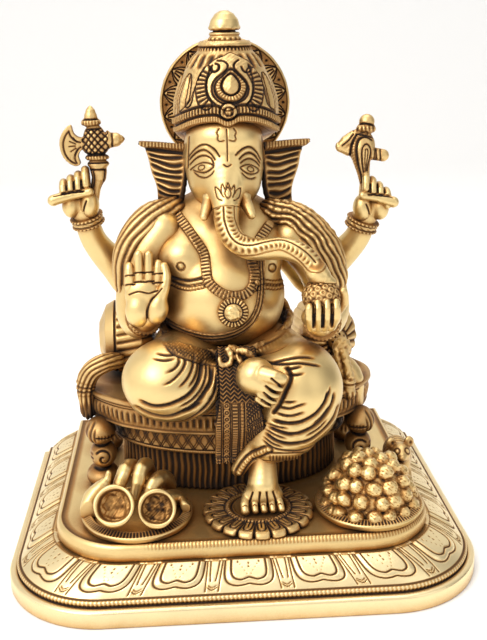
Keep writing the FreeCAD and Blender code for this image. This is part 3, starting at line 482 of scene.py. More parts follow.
def finish_piece(form, name, nodes, look, cavity=0.9, rounds=6):
    """Turn a form into a Blender mesh that stands for its CAD nodes and rides on the idol's one body."""
    depth = form.hollowness(rounds)
    form.stain(np.clip(depth * cavity, 0, 1))
    wear = np.clip(-depth * 1.5, 0, 1)
    faces = form.faces
    flat = faces[:, 2] == faces[:, 3]
    corners = np.concatenate([faces[~flat].ravel(), faces[flat, :3].ravel()])
    sizes = np.concatenate([np.full((~flat).sum(), 4), np.full(flat.sum(), 3)])
    mesh = bpy.data.meshes.new(name)
    mesh.vertices.add(len(form.points))
    mesh.vertices.foreach_set("co", (form.points * MM).astype(np.float32).ravel())
    mesh.loops.add(len(corners))
    mesh.loops.foreach_set("vertex_index", corners.astype(np.int32))
    mesh.polygons.add(len(sizes))
    mesh.polygons.foreach_set("loop_start", np.concatenate([[0], np.cumsum(sizes)[:-1]]).astype(np.int32))
    mesh.polygons.foreach_set("use_smooth", np.ones(len(sizes), bool))
    for label, values in (("patina", np.clip(form.patina, 0, 1)), ("wear", wear)):
        layer = mesh.attributes.new(label, "FLOAT", "POINT")
        layer.data.foreach_set("value", values.astype(np.float32))
    mesh.validate()
    mesh.update()
    piece = bpy.data.objects.new(name, mesh)
    bpy.context.scene.collection.objects.link(piece)
    mesh.materials.append(look)
    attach(piece, "root")
    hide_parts(*nodes)
    return piece


# ---- Plinth ----

RIM_LOW, RIM_HIGH = span("plinth_rim")
DECK_LOW, DECK_HIGH = span("plinth_deck")
PLAN_STEP = 0.55
PETAL_PITCH = 40.6
BAND_FOOT = RIM_LOW[2] + 15
BAND_RISE = RIM_HIGH[2] - BAND_FOOT
BAND_WIDTH = 24
# Painted shade: every throne piece is darkened to at least this share, for the throne's place under the
# figure.
THRONE_PAINTED_SHADE = 0.17


class Plan:
    """A plinth's outline, square behind and round in front, at a fixed number of columns."""

    def __init__(self, half, front, back, corner):
        self.sizes = (half, front, back, corner)
        side = back + front - corner
        lengths = (side, corner * math.pi / 2, 2 * (half - corner), corner * math.pi / 2, side, 2 * half)
        coarse = (1, 1, 1, 1, 1, 3)
        self.counts = [int(length / PLAN_STEP / rough) for length, rough in zip(lengths, coarse)]

    def loop(self, shrink=0.0, side=0.0, front=0.0, back=0.0, corner=0.0):
        """The outline drawn in evenly, and further at the sides, the front, the back and the corners."""
        half = self.sizes[0] - shrink - side
        near = self.sizes[1] - shrink - front
        far = self.sizes[2] - back
        bend = max(self.sizes[3] - shrink - corner, 0.5)
        parts = []
        for index, count in enumerate(self.counts):
            share = np.arange(count) / count
            if index in (1, 3):
                angle = (math.pi if index == 1 else 1.5 * math.pi) + share * math.pi / 2
                middle_x = (bend - half) if index == 1 else (half - bend)
                parts.append(np.stack([middle_x + bend * np.cos(angle), bend - near + bend * np.sin(angle)],
                                      1))
                continue
            ends = {0: ((-half, far), (-half, bend - near)), 2: ((bend - half, -near), (half - bend, -near)),
                    4: ((half, bend - near), (half, far)), 5: ((half, far), (-half, far))}[index]
            start, end = np.array(ends[0]), np.array(ends[1])
            parts.append(start + share[:, None] * (end - start))
        return np.concatenate(parts)

    def travel(self, loop):
        """Length along a loop from the middle of the front."""
        steps = np.linalg.norm(np.roll(loop, -1, 0) - loop, axis=1)
        run = np.concatenate([[0], np.cumsum(steps)[:-1]])
        start = sum(self.counts[:2])
        return run - run[start] - self.sizes_front(loop) / 2

    def sizes_front(self, loop):
        """Length of the straight front."""
        start = sum(self.counts[:2])
        return np.linalg.norm(loop[start + self.counts[2]] - loop[start])


def level(loop, height):
    """A plan loop at one height."""
    return np.column_stack([loop, np.full(len(loop), height)])


def petal_band(form, along, up, where):
    """Engrave the big lotus petals of the sloping band: along its length and up its slope."""
    a = repeat(along, PETAL_PITCH)
    inner = [(-10.5, 25), (-10.3, 15), (-8.6, 10.6), (-5, 9), (-2, 9.9), (0, 10.6), (2, 9.9), (5, 9),
             (8.6, 10.6),
             (10.3, 15), (10.5, 25)]
    outer = [(-14.2, 25), (-14, 13), (-12, 7.4), (-7.5, 5), (-3, 5.4), (0, 6.2), (3, 5.4), (7.5, 5),
             (12, 7.4),
             (14, 13), (14.2, 25)]
    form.groove(a, up, inner, 0.95, 0.75, where=where)
    form.groove(a, up, outer, 0.85, 0.65, where=where)
    away = track(a, up, outer, 8)[0]
    inside = where * ease((away + 0.5) / 4) * (np.abs(a) < 14)
    form.relief += 0.9 * inside
    gap = np.abs(repeat(along - PETAL_PITCH / 2, PETAL_PITCH))
    for offset, low in ((4.1, 1.5), (2.0, 9)):
        form.groove(gap, up, [(offset + 0.9, 25), (offset, 14), (offset - 0.6, low)], 0.6, 0.55, where=where)
    form.groove(gap, up, [(0, 4.4), (1.2, 4.9), (2.2, 6)], 0.45, 0.4, where=where)
    form.groove(gap, up, [(0, 2.6), (1.4, 3.2), (2.6, 4.6)], 0.45, 0.4, where=where)
    for row in range(5):
        for side in (-1, 1):
            spot = np.hypot(a - side * (1.1 + 1.35 * row), up - (13 + 2.2 * row))
            dot = bump(spot, 0.55) * where
            form.relief -= 0.35 * dot
            form.stain(0.8 * dot)
    for across, height in ((0, 20.5), (0, 18), (-6.5, 21.5), (6.5, 21.5)):
        dot = bump(np.hypot((a - across) * 1.3, (up - height) * 0.8), 0.9) * where
        form.relief -= 0.5 * dot
        form.stain(dot)
    fine = where * bump(up - 3.0, 3.2) * ease((gap - 3) / -2) * wave(along, 1.25)
    form.relief -= 0.2 * fine
    form.stain(0.35 * fine)


def make_plinth_rim():
    """The upright rim, the reeded ridge and the sloping band of petals, hollow below."""
    plan = Plan(RIM_HIGH[0], -RIM_LOW[1], RIM_HIGH[1], 60)
    wall = 6
    rows = [(wall, 0, 0), (1.2, 0, 0), (0.3, 0, 0.4), (0, 0, 1.2), (0, 0, 5), (0, 0, 9.2), (0.35, 0, 10.2),
            (1.2, 0, 10.8), (2.6, 0, 11), (3.8, 0, 11), (4.7, 0, 10.6), (5.2, 0, 10.5), (5.4, 0, 11),
            (5.0, 0, 11.7),
            (4.6, 0, 12.4), (4.5, 0, 13.1), (4.7, 0, 13.8), (5.3, 0, 14.4), (6.1, 0, 14.7), (6.7, 0, 14.5)]
    ridge = range(12, 18)
    steps = 46
    first = len(rows)
    rows += [(7, share, BAND_FOOT + BAND_RISE * share) for share in np.linspace(0, 1, steps)]
    rows += [(12, 1, RIM_HIGH[2]), (12, 1, RIM_HIGH[2] - 5), (13, 0, 8), (wall, 0, 7)]
    loops = []
    for shrink, share, height in rows:
        back = 2 if shrink > 2 else shrink
        back = wall if height in (0, 7) and shrink == wall else (7 if shrink >= 12 else back)
        belly = 1.3 * math.sin(math.pi * share) if 0 < share < 1 else 0
        loop = plan.loop(shrink - belly, 20 * share, 14 * share, back, 7 * share)
        loops.append(level(loop, RIM_LOW[2] + height if height < BAND_FOOT else height + 0.6 * belly))
    form = wrapped(np.array(loops), ring=True)
    columns = len(loops[0])
    row = np.repeat(np.arange(len(rows)), columns)
    middle_loop = plan.loop(7, 10, 7, 2, 3.5)
    along = np.tile(plan.travel(middle_loop), len(rows))
    behind = np.tile(np.arange(columns) >= columns - plan.counts[5], len(rows))
    ticks = np.isin(row, list(ridge)) & ~behind
    form.relief -= 0.28 * ticks * wave(along, 2.2)
    form.stain(0.3 * ticks * wave(along, 2.2))
    form.stain(0.85 * np.isin(row, (10, 11, 12)) + 0.75 * np.isin(row, (18, 19, first)))
    up = np.clip((row - first) / (steps - 1), 0, 1) * BAND_WIDTH
    on_band = ((row > first) & (row < first + steps - 1) & ~behind).astype(float)
    petal_band(form, along, up, on_band)
    form.stain(0.75 * bump(up - BAND_WIDTH, 1.5) * on_band)
    form.settle()
    # The rim takes the paler copy of the brass as painted light.
    return finish_piece(form, "plinth_rim_casting", ["plinth_rim"], PAINTED_LIGHT_BRASS)


def make_plinth_deck():
    """The deck, with a reeded upper edge that is smooth at the left where it passes the dish."""
    plan = Plan(DECK_HIGH[0], -DECK_LOW[1], DECK_HIGH[1], 44)
    low, high = DECK_LOW[2], DECK_HIGH[2]
    rows = [(60, low + 5), (6, low + 5), (6, low), (0.4, low), (0, low + 0.5), (0.1, low + 3), (0, low + 5)]
    rows += [(0.1 + 0.12 * step, high - 4.4 + 0.55 * step) for step in range(5)]
    edge = [(1.1, high - 1.3), (1.5, high - 0.75), (2.1, high - 0.3), (2.8, high), (3.4, high - 0.1),
            (3.9, high - 0.5)]
    first_edge = len(rows)
    rows += edge + [(4.6, high - 0.6), (8, high - 0.6), (14, high - 0.6), (22, high - 0.6), (32, high - 0.6),
                    (44, high - 0.6), (60, high - 0.6)]
    loops = [level(plan.loop(shrink, back=shrink), height) for shrink, height in rows]
    form = wrapped(np.array(loops), low_pole=True, high_pole=True)
    columns = len(loops[0])
    row = np.append(np.repeat(np.arange(len(rows)), columns), [0, len(rows) - 1])
    along = np.append(np.tile(plan.travel(plan.loop()), len(rows)), [0, 0])
    reeds = ((row >= first_edge - 2) & (row <= first_edge + 3))
    reeds = reeds * ease((along + 62) / 12) * ease((190 - along) / 20)
    form.relief -= 0.4 * reeds * wave(along, 2.1)
    form.stain(0.3 * reeds * wave(along, 2.1))
    form.stain(0.6 * ((row >= first_edge + 4) & (row <= first_edge + 6)))
    form.settle()
    return finish_piece(form, "plinth_deck_plate", ["plinth_deck"], POLISHED)


# ---- Round and oval turned pieces ----

def polar(radii, heights, columns, centre, low_pole=True, high_pole=True):
    """A turned surface, its profile given by radii and heights from the bottom middle to the top middle."""
    angle = np.arange(columns) / columns * TURN
    radii = np.array(radii, float)[:, None]
    heights = np.array(heights, float)[:, None]
    rows = np.stack([centre[0] + radii * np.cos(angle), centre[1] + radii * np.sin(angle),
                     centre[2] + heights * np.ones(columns)], -1)
    form = wrapped(rows, low_pole, high_pole)
    x, y = form.points[:, 0] - centre[0], form.points[:, 1] - centre[1]
    return form, np.hypot(x, y), np.arctan2(y, x)


def profile_steps(corners, step=0.6):
    """A profile through its corners in even short steps."""
    corners = np.array(corners, float)
    out = []
    for start, end in zip(corners[:-1], corners[1:]):
        count = max(1, int(round(np.linalg.norm(end - start) / step)))
        out.append(start + (end - start) * (np.arange(count) / count)[:, None])
    out.append(corners[-1:])
    line = np.concatenate(out)
    return line[:, 0], line[:, 1]


def make_footrest():
    """The lotus footrest: a smooth middle, a beaded ring and two-lobed petals."""
    low, high = span("lotus_footrest")
    radius = (high[0] - low[0]) / 2
    petals = 20
    height = high[2] - low[2]
    radii, heights = profile_steps([(2, 0), (radius - 0.6, 0), (radius, 0.8), (radius, height - 2.2),
                                    (radius - 1, height - 0.8), (radius - 3, height), (2, height)], 0.5)
    centre = ((low[0] + high[0]) / 2, (low[1] + high[1]) / 2, low[2])
    form, out, angle = polar(radii, heights, 620, centre)
    top = form.points[:, 2] > low[2] + height - 2.5
    across = repeat(angle / TURN * petals, 1) * TURN / petals * out
    width = TURN / petals * out
    notch = bump(np.abs(across) - width / 2, 1.1)
    rounding = ease((out - (radius - 3.6)) / 3.6) * (np.abs(across) / (width / 2)) ** 4
    inward = 2.6 * rounding * (out > 25)
    form.points[:, 0] -= inward * np.cos(angle)
    form.points[:, 1] -= inward * np.sin(angle)
    petal = ease((out - 20) / 1.5)
    form.relief -= 1.3 * notch * petal
    form.stain(notch * petal)
    fold = [(-2.3, 19), (-2.4, 26.5), (-1.7, 28.8), (0, 29.6), (1.7, 28.8), (2.4, 26.5), (2.3, 19)]
    form.groove(across, out, fold, 0.8, 1.1, where=top)
    form.groove(across, out, [(0, 19), (0, 26)], 0.6, 0.9, where=top)
    for ring, half, depth in ((20.4, 0.8, 0.9), (16.2, 1.0, 1.3)):
        line = bump(out - ring, half) * top
        form.relief -= depth * line
        form.stain(line)
    beads = bump(out - 18.3, 1.9) * top
    form.relief += 0.7 * beads * (0.4 + 0.6 * wave(angle * 18.3, 2.1))
    form.stain(0.5 * beads * (1 - wave(angle * 18.3, 2.1)))
    form.relief -= 0.7 * ease((16 - out) / 2) * top
    form.settle()
    return finish_piece(form, "lotus_footrest_casting", ["lotus_footrest"], ANTIQUED)


def make_dish(node, piece):
    """A shallow dish: a plain outer wall under a broad sloping lip with short radial ticks."""
    low, high = span(node)
    radius = (high[0] - low[0]) / 2
    height = high[2] - low[2]
    radii, heights = profile_steps([(1, 0), (radius - 2.4, 0), (radius - 0.9, 0.6),
                                    (radius - 0.2, height - 3.4),
                                    (radius, height - 2.6), (radius - 0.5, height - 1.8),
                                    (radius - 4.4, height - 0.2),
                                    (radius - 5.2, height), (radius - 6.2, height - 1.2),
                                    (radius - 7, height - 2.8),
                                    (1, height - 2.8)], 0.45)
    centre = ((low[0] + high[0]) / 2, (low[1] + high[1]) / 2, low[2])
    form, out, angle = polar(radii, heights, 620, centre)
    top = form.points[:, 2] > low[2] + height - 3.1
    lip = np.clip(2 * bump(out - (radius - 3.0), 2.7), 0, 1) * top
    gap = (1 - wave(angle * radius, 2.1)) ** 0.8
    form.relief -= 0.75 * lip * gap
    form.stain(lip * gap)
    form.stain(bump(out - (radius - 6.8), 1.5) * top)
    form.relief += 0.25 * noise(form.points, 17, 3) * ease((out - 6) / 10)
    form.settle()
    return finish_piece(form, piece, [node], POLISHED)


def make_sweets_heap():
    """A domed heap of rough, flattened sweets, closely packed in rings."""
    low, high = span("sweets_heap")
    middle_x, middle_y = (low[0] + high[0]) / 2, (low[1] + high[1]) / 2
    reach = (high[0] - low[0]) / 2
    tall = high[2] - low[2]
    clay = Clay(low - 4, high + 3, 0.55)
    clay.oval((middle_x, middle_y, low[2]), (reach - 3, reach - 3, tall - 4), 0.8)
    for order, rise in enumerate((0.06, 0.37, 0.68, 0.99, 1.3)):
        ring = (reach - 2.4) * math.cos(rise)
        count = round(TURN * ring / 10.2)
        for index in range(count):
            angle = TURN * (index + 0.5 * (order % 2)) / count + rng.uniform(-0.12, 0.12)
            out = ring + rng.uniform(-1.2, 0.6)
            centre = (middle_x + out * math.cos(angle), middle_y + out * math.sin(angle),
                      low[2] + (tall - 3.6) * math.sin(rise) + rng.uniform(-1.0, 1.0))
            shape = (rng.uniform(4.7, 5.7), rng.uniform(4.7, 5.7), rng.uniform(3.8, 5.0))
            clay.oval(centre, shape, 0.45, tuple(rng.uniform(-35, 35, 3)))
    form = clay.form()
    pits = ease((noise(form.points, 1.5, 8) - 0.5) / 0.3)
    form.relief += 0.22 * noise(form.points, 4.2, 5) + 0.05 * noise(form.points, 1.9, 6) - 0.16 * pits
    form.stain(0.4 * pits)
    form.settle()
    return finish_piece(form, "sweets_heap_casting", ["sweets_heap"], POLISHED, cavity=1.25, rounds=12)


def make_bananas():
    """A hand of bent bananas fanned out behind the coconut halves, one lying over with its stalk up."""
    low, high = span("bananas")
    clay = Clay(low - (14, 10, 4), high + (14, 8, 8), 0.55)
    fingers = (((-76, -47, 51, 3.2), (-74, -45, 58, 4.0), (-70.4, -40, 64.8, 4.3), (-67, -32, 63.5, 4.2),
                (-64.5, -27, 54, 3.4)),
               ((-65.4, -47, 50, 3.2), (-63.4, -45, 58, 4.2), (-60.8, -40, 65, 4.5), (-58, -32, 63.5, 4.4),
                (-56, -27, 53, 3.6)),
               ((-57.5, -48, 49, 3.4), (-55.5, -46, 54.5, 4.4), (-51.4, -41, 57.5, 4.9),
                (-47, -34, 55, 4.8), (-44, -29, 47, 3.8)),
               ((-49, -55, 50, 4.0), (-45, -50, 49.5, 4.9), (-40.5, -45, 46.5, 4.9), (-38, -39, 43.5, 3.6)),
               ((-37.5, -49, 48.5, 1.8), (-35.6, -53, 47, 2.6), (-34.5, -58, 44.6, 2.6),
                (-35.5, -62, 43, 1.6)),
               ((-80.4, -45, 65.4, 1.5), (-81.4, -46, 61.5, 2.3), (-85.5, -48, 57.4, 4.5),
                (-91, -51, 52.6, 4.9),
                (-94, -55, 47.5, 3.9)))
    for finger in fingers:
        clay.limb(finger, 0.5)
    clay.limb(((-92, -58, 44, 4.2), (-94, -52, 43.5, 4.6), (-92, -44, 44, 4.2)), 1.5)
    form = clay.form()
    form.relief += 0.2 * noise(form.points, 7, 3)
    form.settle()
    return finish_piece(form, "banana_hand", ["bananas"], POLISHED)


def make_coconut_half(node, piece, size, shift, lean, tilt, fill):
    """Half a coconut with a thick rounded wall and its flesh inside, tipped forward to show its hollow."""
    centre = middle(node)
    floor = span("fruit_dish")[1][2] - 2.8
    radii, heights = profile_steps([(1, -8), (5, -7.4), (8.6, -4.6), (11, -0.4), (12.1, 4), (12.2, 7),
                                    (11.9, 8.4),
                                    (11.0, 9.0), (9.9, 8.6), (9.2, 7.2), (8.7, 3.8), (6, 1.2), (1, 0.4)], 0.5)
    form, out, _ = polar(radii, heights, 150, (0, 0, 0))
    hollow = ease((8.9 - out) / 0.8) * (form.points[:, 2] > 0)
    form.relief += hollow * fill * (0.7 * noise(form.points, 5.5, 8) + 0.45 * noise(form.points, 2.6, 9))
    form.relief += hollow * 1.2 * bump(np.hypot(form.points[:, 0] + 1, form.points[:, 1] - 1), 4) * fill
    form.relief += 0.35 * noise(form.points, 13, 4)
    form.stain(hollow * (0.12 + 0.4 * np.clip(noise(form.points, 4, 12), 0, 1)) * fill)
    form.stain(0.5 * bump(out - 9.1, 0.8) * (form.points[:, 2] > 3))
    form.settle()
    turn = np.array(Matrix.Rotation(math.radians(lean), 3, "Y") @ Matrix.Rotation(math.radians(tilt), 3, "X"))
    form.points = size * form.points @ turn.T
    box_middle = (form.points.min(0) + form.points.max(0)) / 2
    form.points += centre + (shift[0], 3.5, 0) - box_middle
    form.points[:, 2] += floor + shift[1] - form.points[:, 2].min()
    form.normals = form.facing()
    return finish_piece(form, piece, [node], POLISHED)


# ---- Throne ----

class Oval:
    """An oval course of the throne, its columns evenly spaced round it."""

    def __init__(self, node, step=0.55):
        low, high = span(node)
        self.low, self.high = low, high
        self.centre = (low + high) / 2
        self.half = ((high[0] - low[0]) / 2, (high[1] - low[1]) / 2)
        dense = np.linspace(0, TURN, 20001)
        x, y = self.half[0] * np.cos(dense), self.half[1] * np.sin(dense)
        run = np.concatenate([[0], np.cumsum(np.hypot(np.diff(x), np.diff(y)))])
        self.length = run[-1]
        self.columns = int(self.length / step)
        self.angles = np.interp(np.arange(self.columns) / self.columns * self.length, run, dense)

    def course(self, rows, low_pole=True, high_pole=True):
        """The surface through rows of inset and height, with its length along and height above its foot."""
        cosine, sine = np.cos(self.angles), np.sin(self.angles)
        slope = np.stack([cosine / self.half[0], sine / self.half[1]], 1)
        slope /= np.linalg.norm(slope, axis=1)[:, None]
        edge = np.stack([self.half[0] * cosine, self.half[1] * sine], 1)
        lines = []
        for inset, height in rows:
            plan = edge - slope * min(inset, 30)
            if inset > 30:
                plan = plan * (1 - (inset - 30) / 40)
            lines.append(np.column_stack([plan + self.centre[:2],
                                          np.full(self.columns, self.low[2] + height)]))
        form = wrapped(np.array(lines), low_pole, high_pole)
        along = np.tile(np.arange(self.columns) / self.columns * self.length, len(rows))
        form.along = np.append(along, np.zeros(len(form.points) - len(along)))
        form.up = form.points[:, 2] - self.low[2]
        form.out = np.append(np.repeat([inset for inset, _ in rows], self.columns),
                             np.full(len(form.points) - len(along), 60.0))
        return form


def make_throne_seat():
    """The cushioned seat: a smooth swell, upright flutes, a reeded line and a rolled rim."""
    oval = Oval("throne_seat")
    tall = oval.high[2] - oval.low[2]
    inset, up = profile_steps([(24, 2), (6, 0), (3.2, 0.2), (2.0, 0.9), (1.8, 1.7), (2.6, 2.5), (1.4, 6),
                               (1.1, 10.5),
                               (1.8, 13.2), (2.6, 13.8), (1.4, 14.3), (1.2, 15.1), (1.7, 15.7), (0.6, 16.1),
                               (0, 17), (0.1, tall - 0.5), (1.0, tall), (2.6, tall),
                               (3.8, tall - 0.5), (5.2, tall - 1), (9, tall - 1), (40, tall - 1),
                               (60, tall - 1)], 0.6)
    coarse = (inset > 8) & (np.arange(len(inset)) % 8 != 0) & (np.arange(len(inset)) != len(inset) - 1)
    inset, up = inset[~coarse], up[~coarse]
    form = oval.course(list(zip(inset, up)))
    flutes = bump(form.up - 7.9, 6) * (form.out < 5)
    pitch = oval.length / round(oval.length / 4.4)
    ripple = wave(form.along + 0.4 * np.sin(form.along / 9), pitch)
    sharp = 1 - ripple ** 0.6
    form.relief -= 1.5 * np.minimum(flutes * 1.6, 1) * sharp
    form.stain(np.minimum(flutes * 1.6, 1) * sharp ** 2.2)
    wall = form.out < 5
    beads = bump(form.up - 14.9, 1.1) * wall
    form.relief += 0.4 * beads * wave(form.along, 1.7)
    lines = 0.7 * bump(form.up - 13.8, 0.8) + 0.6 * bump(form.up - 15.8, 0.7) + 0.7 * bump(form.up - 2.6, 0.9)
    form.stain(lines * wall)
    form.relief += 0.35 * noise(form.points, 24, 2) * (form.out < 5)
    form.settle()
    # Painted shade over the whole seat.
    form.patina = np.maximum(form.patina, THRONE_PAINTED_SHADE)
    return finish_piece(form, "throne_seat_casting", ["throne_seat"], ANTIQUED)


def make_throne_apron():
    """The band of crossed double lines, with a small lozenge in each cell and a reeded line below."""
    oval = Oval("throne_apron", 0.5)
    tall = oval.high[2] - oval.low[2]
    inset, up = profile_steps([(12, 0), (3.5, 0), (2.4, 0.4), (1.4, 1.2), (1.2, 2.4), (2.2, 3.2), (1.0, 3.8),
                               (0.6, tall - 1), (1.4, tall), (12, tall)], 0.5)
    rows = [(12, 0.0)] + [(a, b) for a, b in zip(inset, up) if a < 11.9] + [(12, tall)]
    form = oval.course(rows, False, False)
    pitch = oval.length / round(oval.length / 7.2)
    lattice = (form.up > 3.4) & (form.up < tall) & (form.out < 5)
    lean = (form.up - 3.8) * pitch / (tall - 4.2)
    for sign in (-1, 1):
        for offset in (-0.75, 0.75):
            slot = bump(repeat(form.along + sign * lean * 1.0 + offset, pitch), 0.55) * lattice
            form.relief -= 0.55 * slot
            form.stain(slot)
    gem = np.abs(repeat(form.along + pitch / 2, pitch)) / 1.3 + np.abs(form.up - 3.8 - (tall - 4.2) / 2) / 1.8
    form.relief += 0.5 * ease(1.6 - gem) * lattice
    form.stain(0.6 * bump(gem - 1.5, 0.5) * lattice)
    beads = bump(form.up - 1.9, 1.3) * (form.out < 5)
    form.relief += 0.35 * beads * wave(form.along, 1.7)
    form.stain(beads * 0.3 * (1 - wave(form.along, 1.7)) + 0.8 * bump(form.up - 3.3, 0.7) * (form.out < 5))
    form.settle()
    # Painted shade over the whole apron.
    form.patina = np.maximum(form.patina, THRONE_PAINTED_SHADE)
    return finish_piece(form, "throne_apron_band", ["throne_apron"], ANTIQUED)


def make_throne_skirt():
    """The hanging fringe under the apron, in upright folds."""
    oval = Oval("throne_skirt", 0.6)
    tall = oval.high[2] - oval.low[2]
    inset, up = profile_steps([(12, 0), (0.4, 0), (0, 1.2), (1.0, tall), (12, tall)], 0.7)
    rows = [(12, 0.0)] + [(a, b) for a, b in zip(inset, up) if a < 11.9] + [(12, tall)]
    form = oval.course(rows, False, False)
    face = (form.out < 5) & (form.up < tall - 0.3)
    pitch = oval.length / round(oval.length / 4.0)
    fold = 1 - wave(form.along + 0.8 * np.sin(form.along / 7) + 0.3 * np.sin(form.up / 3), pitch) ** 0.7
    form.relief -= 1.5 * fold * face
    form.stain((0.35 + 0.65 * fold) * face)
    form.settle()
    # Painted shade over the whole fringe.
    form.patina = np.maximum(form.patina, THRONE_PAINTED_SHADE)
    return finish_piece(form, "throne_fringe", ["throne_skirt"], ANTIQUED)


def make_throne_foot(node, side, end):
    """A scrolled foot: a ribbed cap with a slit, over a spiral scroll that stands on a pad."""
    low, high = span(node)
    x, y = (low[0] + high[0]) / 2, (low[1] + high[1]) / 2
    cap, scroll, pad = low[2] + 37, low[2] + 21.5, low[2] + 6
    clay = Clay(low - 3, high + 3, 0.55)
    clay.oval((x, y, cap), (9.8, 12.5, 8.8), 1.0)
    clay.oval((x - 1.2 * side, y + 1.5 * end, scroll), (8.6, 10.5, 9), 0.8)
    clay.oval((x, y, pad), (10.5, 12, 8), 0.8)
    clay.flatten((0, 0, low[2]), (0, 0, -1), 0.8)
    form = clay.form()
    u = (form.points[:, 0] - x) * side
    v = form.points[:, 2]
    facing = ease(form.normals[:, 1] * end * 2.5)
    on_cap = ease((v - cap + 8) / 1.5)
    slit = bump(v - cap + 1 - 0.12 * u, 3.2) * ease((2 - u) / 2) * facing
    teeth = slit * wave(u, 2.0)
    form.relief -= 0.7 * teeth
    form.stain(0.8 * teeth)
    form.groove(u, v, [(-10, cap - 2.4), (-4, cap - 1.8), (2, cap - 1)], 0.9, 1.3, where=facing)
    ribs = ease((u - 1.5) / 1.5) * wave(u + 0.05 * (v - cap) ** 2, 2.9) * on_cap * facing
    form.relief -= 0.8 * ribs
    form.stain(0.8 * ribs)
    form.groove(u, v, [(-9, cap - 7), (0, cap - 7.8), (9, cap - 7)], 0.9, 1.0, where=facing)
    spiral = [(5.8 * (1 - turn / 13) * math.cos(turn * 0.66 + 0.6) - 2,
               scroll + 6 * (1 - turn / 13) * math.sin(turn * 0.66 + 0.6))
              for turn in range(12)]
    form.groove(u, v, spiral, 0.95, 1.2, where=facing)
    tail = bump(v - scroll + 0.5, 6.5) * ease((u - 4.2) / 1.2) * facing * wave(v, 3.1)
    form.relief -= 0.8 * tail
    form.stain(tail)
    form.groove(u, v, [(-9, pad + 7.5), (0, pad + 6.5), (9, pad + 7.5)], 0.9, 0.8, where=facing)
    sideways = np.arctan2(form.points[:, 1] - y, form.points[:, 0] - x)
    flutes = (bump(v - pad - 4.5, 3.2) + bump(v - cap, 7)) * wave(sideways, TURN / 22) * (1 - facing)
    form.relief -= 0.6 * flutes
    form.stain(0.7 * flutes)
    form.settle()
    # Painted shade over the whole foot.
    form.patina = np.maximum(form.patina, THRONE_PAINTED_SHADE)
    return finish_piece(form, node + "_casting", [node], ANTIQUED, cavity=1.1)


# ---- Engraving on the figure ----

SEEN_FROM_ABOVE = 0.31
SEEN_FROM_LEFT = 0.056


def front_view(form, depth):
    """Where the surface falls on an upright plane at that depth, seen from a little above and left."""
    behind = form.points[:, 1] - depth
    return form.points[:, 0] - SEEN_FROM_LEFT * behind, form.points[:, 2] + SEEN_FROM_ABOVE * behind


def faces_front(form, sharp=3.0):
    """1 on what faces the front, fading to 0 at the sides."""
    return ease(0.15 - form.normals[:, 1] * sharp)


def along_route(points, stations):
    """Length along a limb, and offsets sideways and frontwards from its axis."""
    route = smooth_curve([station[:3] for station in stations], step=2.0)
    best = np.full(len(points), 1e9)
    along, side, fore = np.zeros(len(points)), np.zeros(len(points)), np.zeros(len(points))
    run = 0.0
    for start, end in zip(route[:-1], route[1:]):
        heading = end - start
        length = float(np.linalg.norm(heading))
        heading = heading / length
        across = np.cross(heading, (0, -1, 0))
        across /= np.linalg.norm(across)
        outward = np.cross(across, heading)
        offset = points - start
        ahead = np.clip(offset @ heading, 0, length)
        gap = offset - ahead[:, None] * heading
        distance = (gap ** 2).sum(1)
        nearer = distance < best
        best = np.where(nearer, distance, best)
        along = np.where(nearer, run + ahead, along)
        side = np.where(nearer, gap @ across, side)
        fore = np.where(nearer, gap @ outward, fore)
        run += length
    return along, side, fore


def circle(x, z, radius, count=10, wide=1.0):
    """Points round a ring, to be joined by a closed curve."""
    return [(x + wide * radius * math.cos(TURN * step / count), z + radius * math.sin(TURN * step / count))
            for step in range(count)]


def spiral(x, z, radius, start, turns, count=12):
    """Points of a curl that winds in from its radius."""
    return [(x + radius * (1 - 0.8 * step / count) * math.cos(start + TURN * turns * step / count),
             z + radius * (1 - 0.8 * step / count) * math.sin(start + TURN * turns * step / count))
            for step in range(count + 1)]


# ---- Torso and what is worn on it ----

def torso_clay():
    """Belly, chest, shoulders, hips and neck."""
    low, high = span("torso")
    clay = Clay(low - (6, 4, 2), high + (6, 4, 3), 0.75)
    clay.oval((-7, 3, 161), (38.5, 36, 37), 3)
    clay.oval((-6, 12, 193), (42, 26, 25), 9)
    clay.limb(((-38, 20, 203, 14), (-5, 22, 208, 17), (28, 20, 198, 14)), 8)
    clay.oval((-31, -5, 188), (15.5, 15, 14.5), 5)
    clay.oval((14, -5, 185), (15.5, 15, 14.5), 5)
    clay.oval((-6, 16, 122), (47, 36, 28), 6)
    clay.oval((-5, 17, 217), (20, 18, 17), 5)
    clay.flatten((0, 0, low[2]), (0, 0, -1), 1)
    return clay


NECKLACE = [(-36, 222), (-32, 216), (-27.5, 209.2), (-22.5, 201), (-19, 194.6), (-17.8, 185), (-16.4, 177),
            (-10, 170.5),
            (-3, 168), (5, 169), (9.4, 174), (10.4, 182), (9.2, 191), (13, 201), (20, 212)]
THREAD = [(15, 197), (14.8, 185), (14.6, 172), (12.5, 160), (6.8, 150.4), (-3.7, 144.2), (-16.6, 142.8),
          (-28.4, 145.6),
          (-37.8, 150), (-46, 156)]
PENDANT = (-2.9, 162)


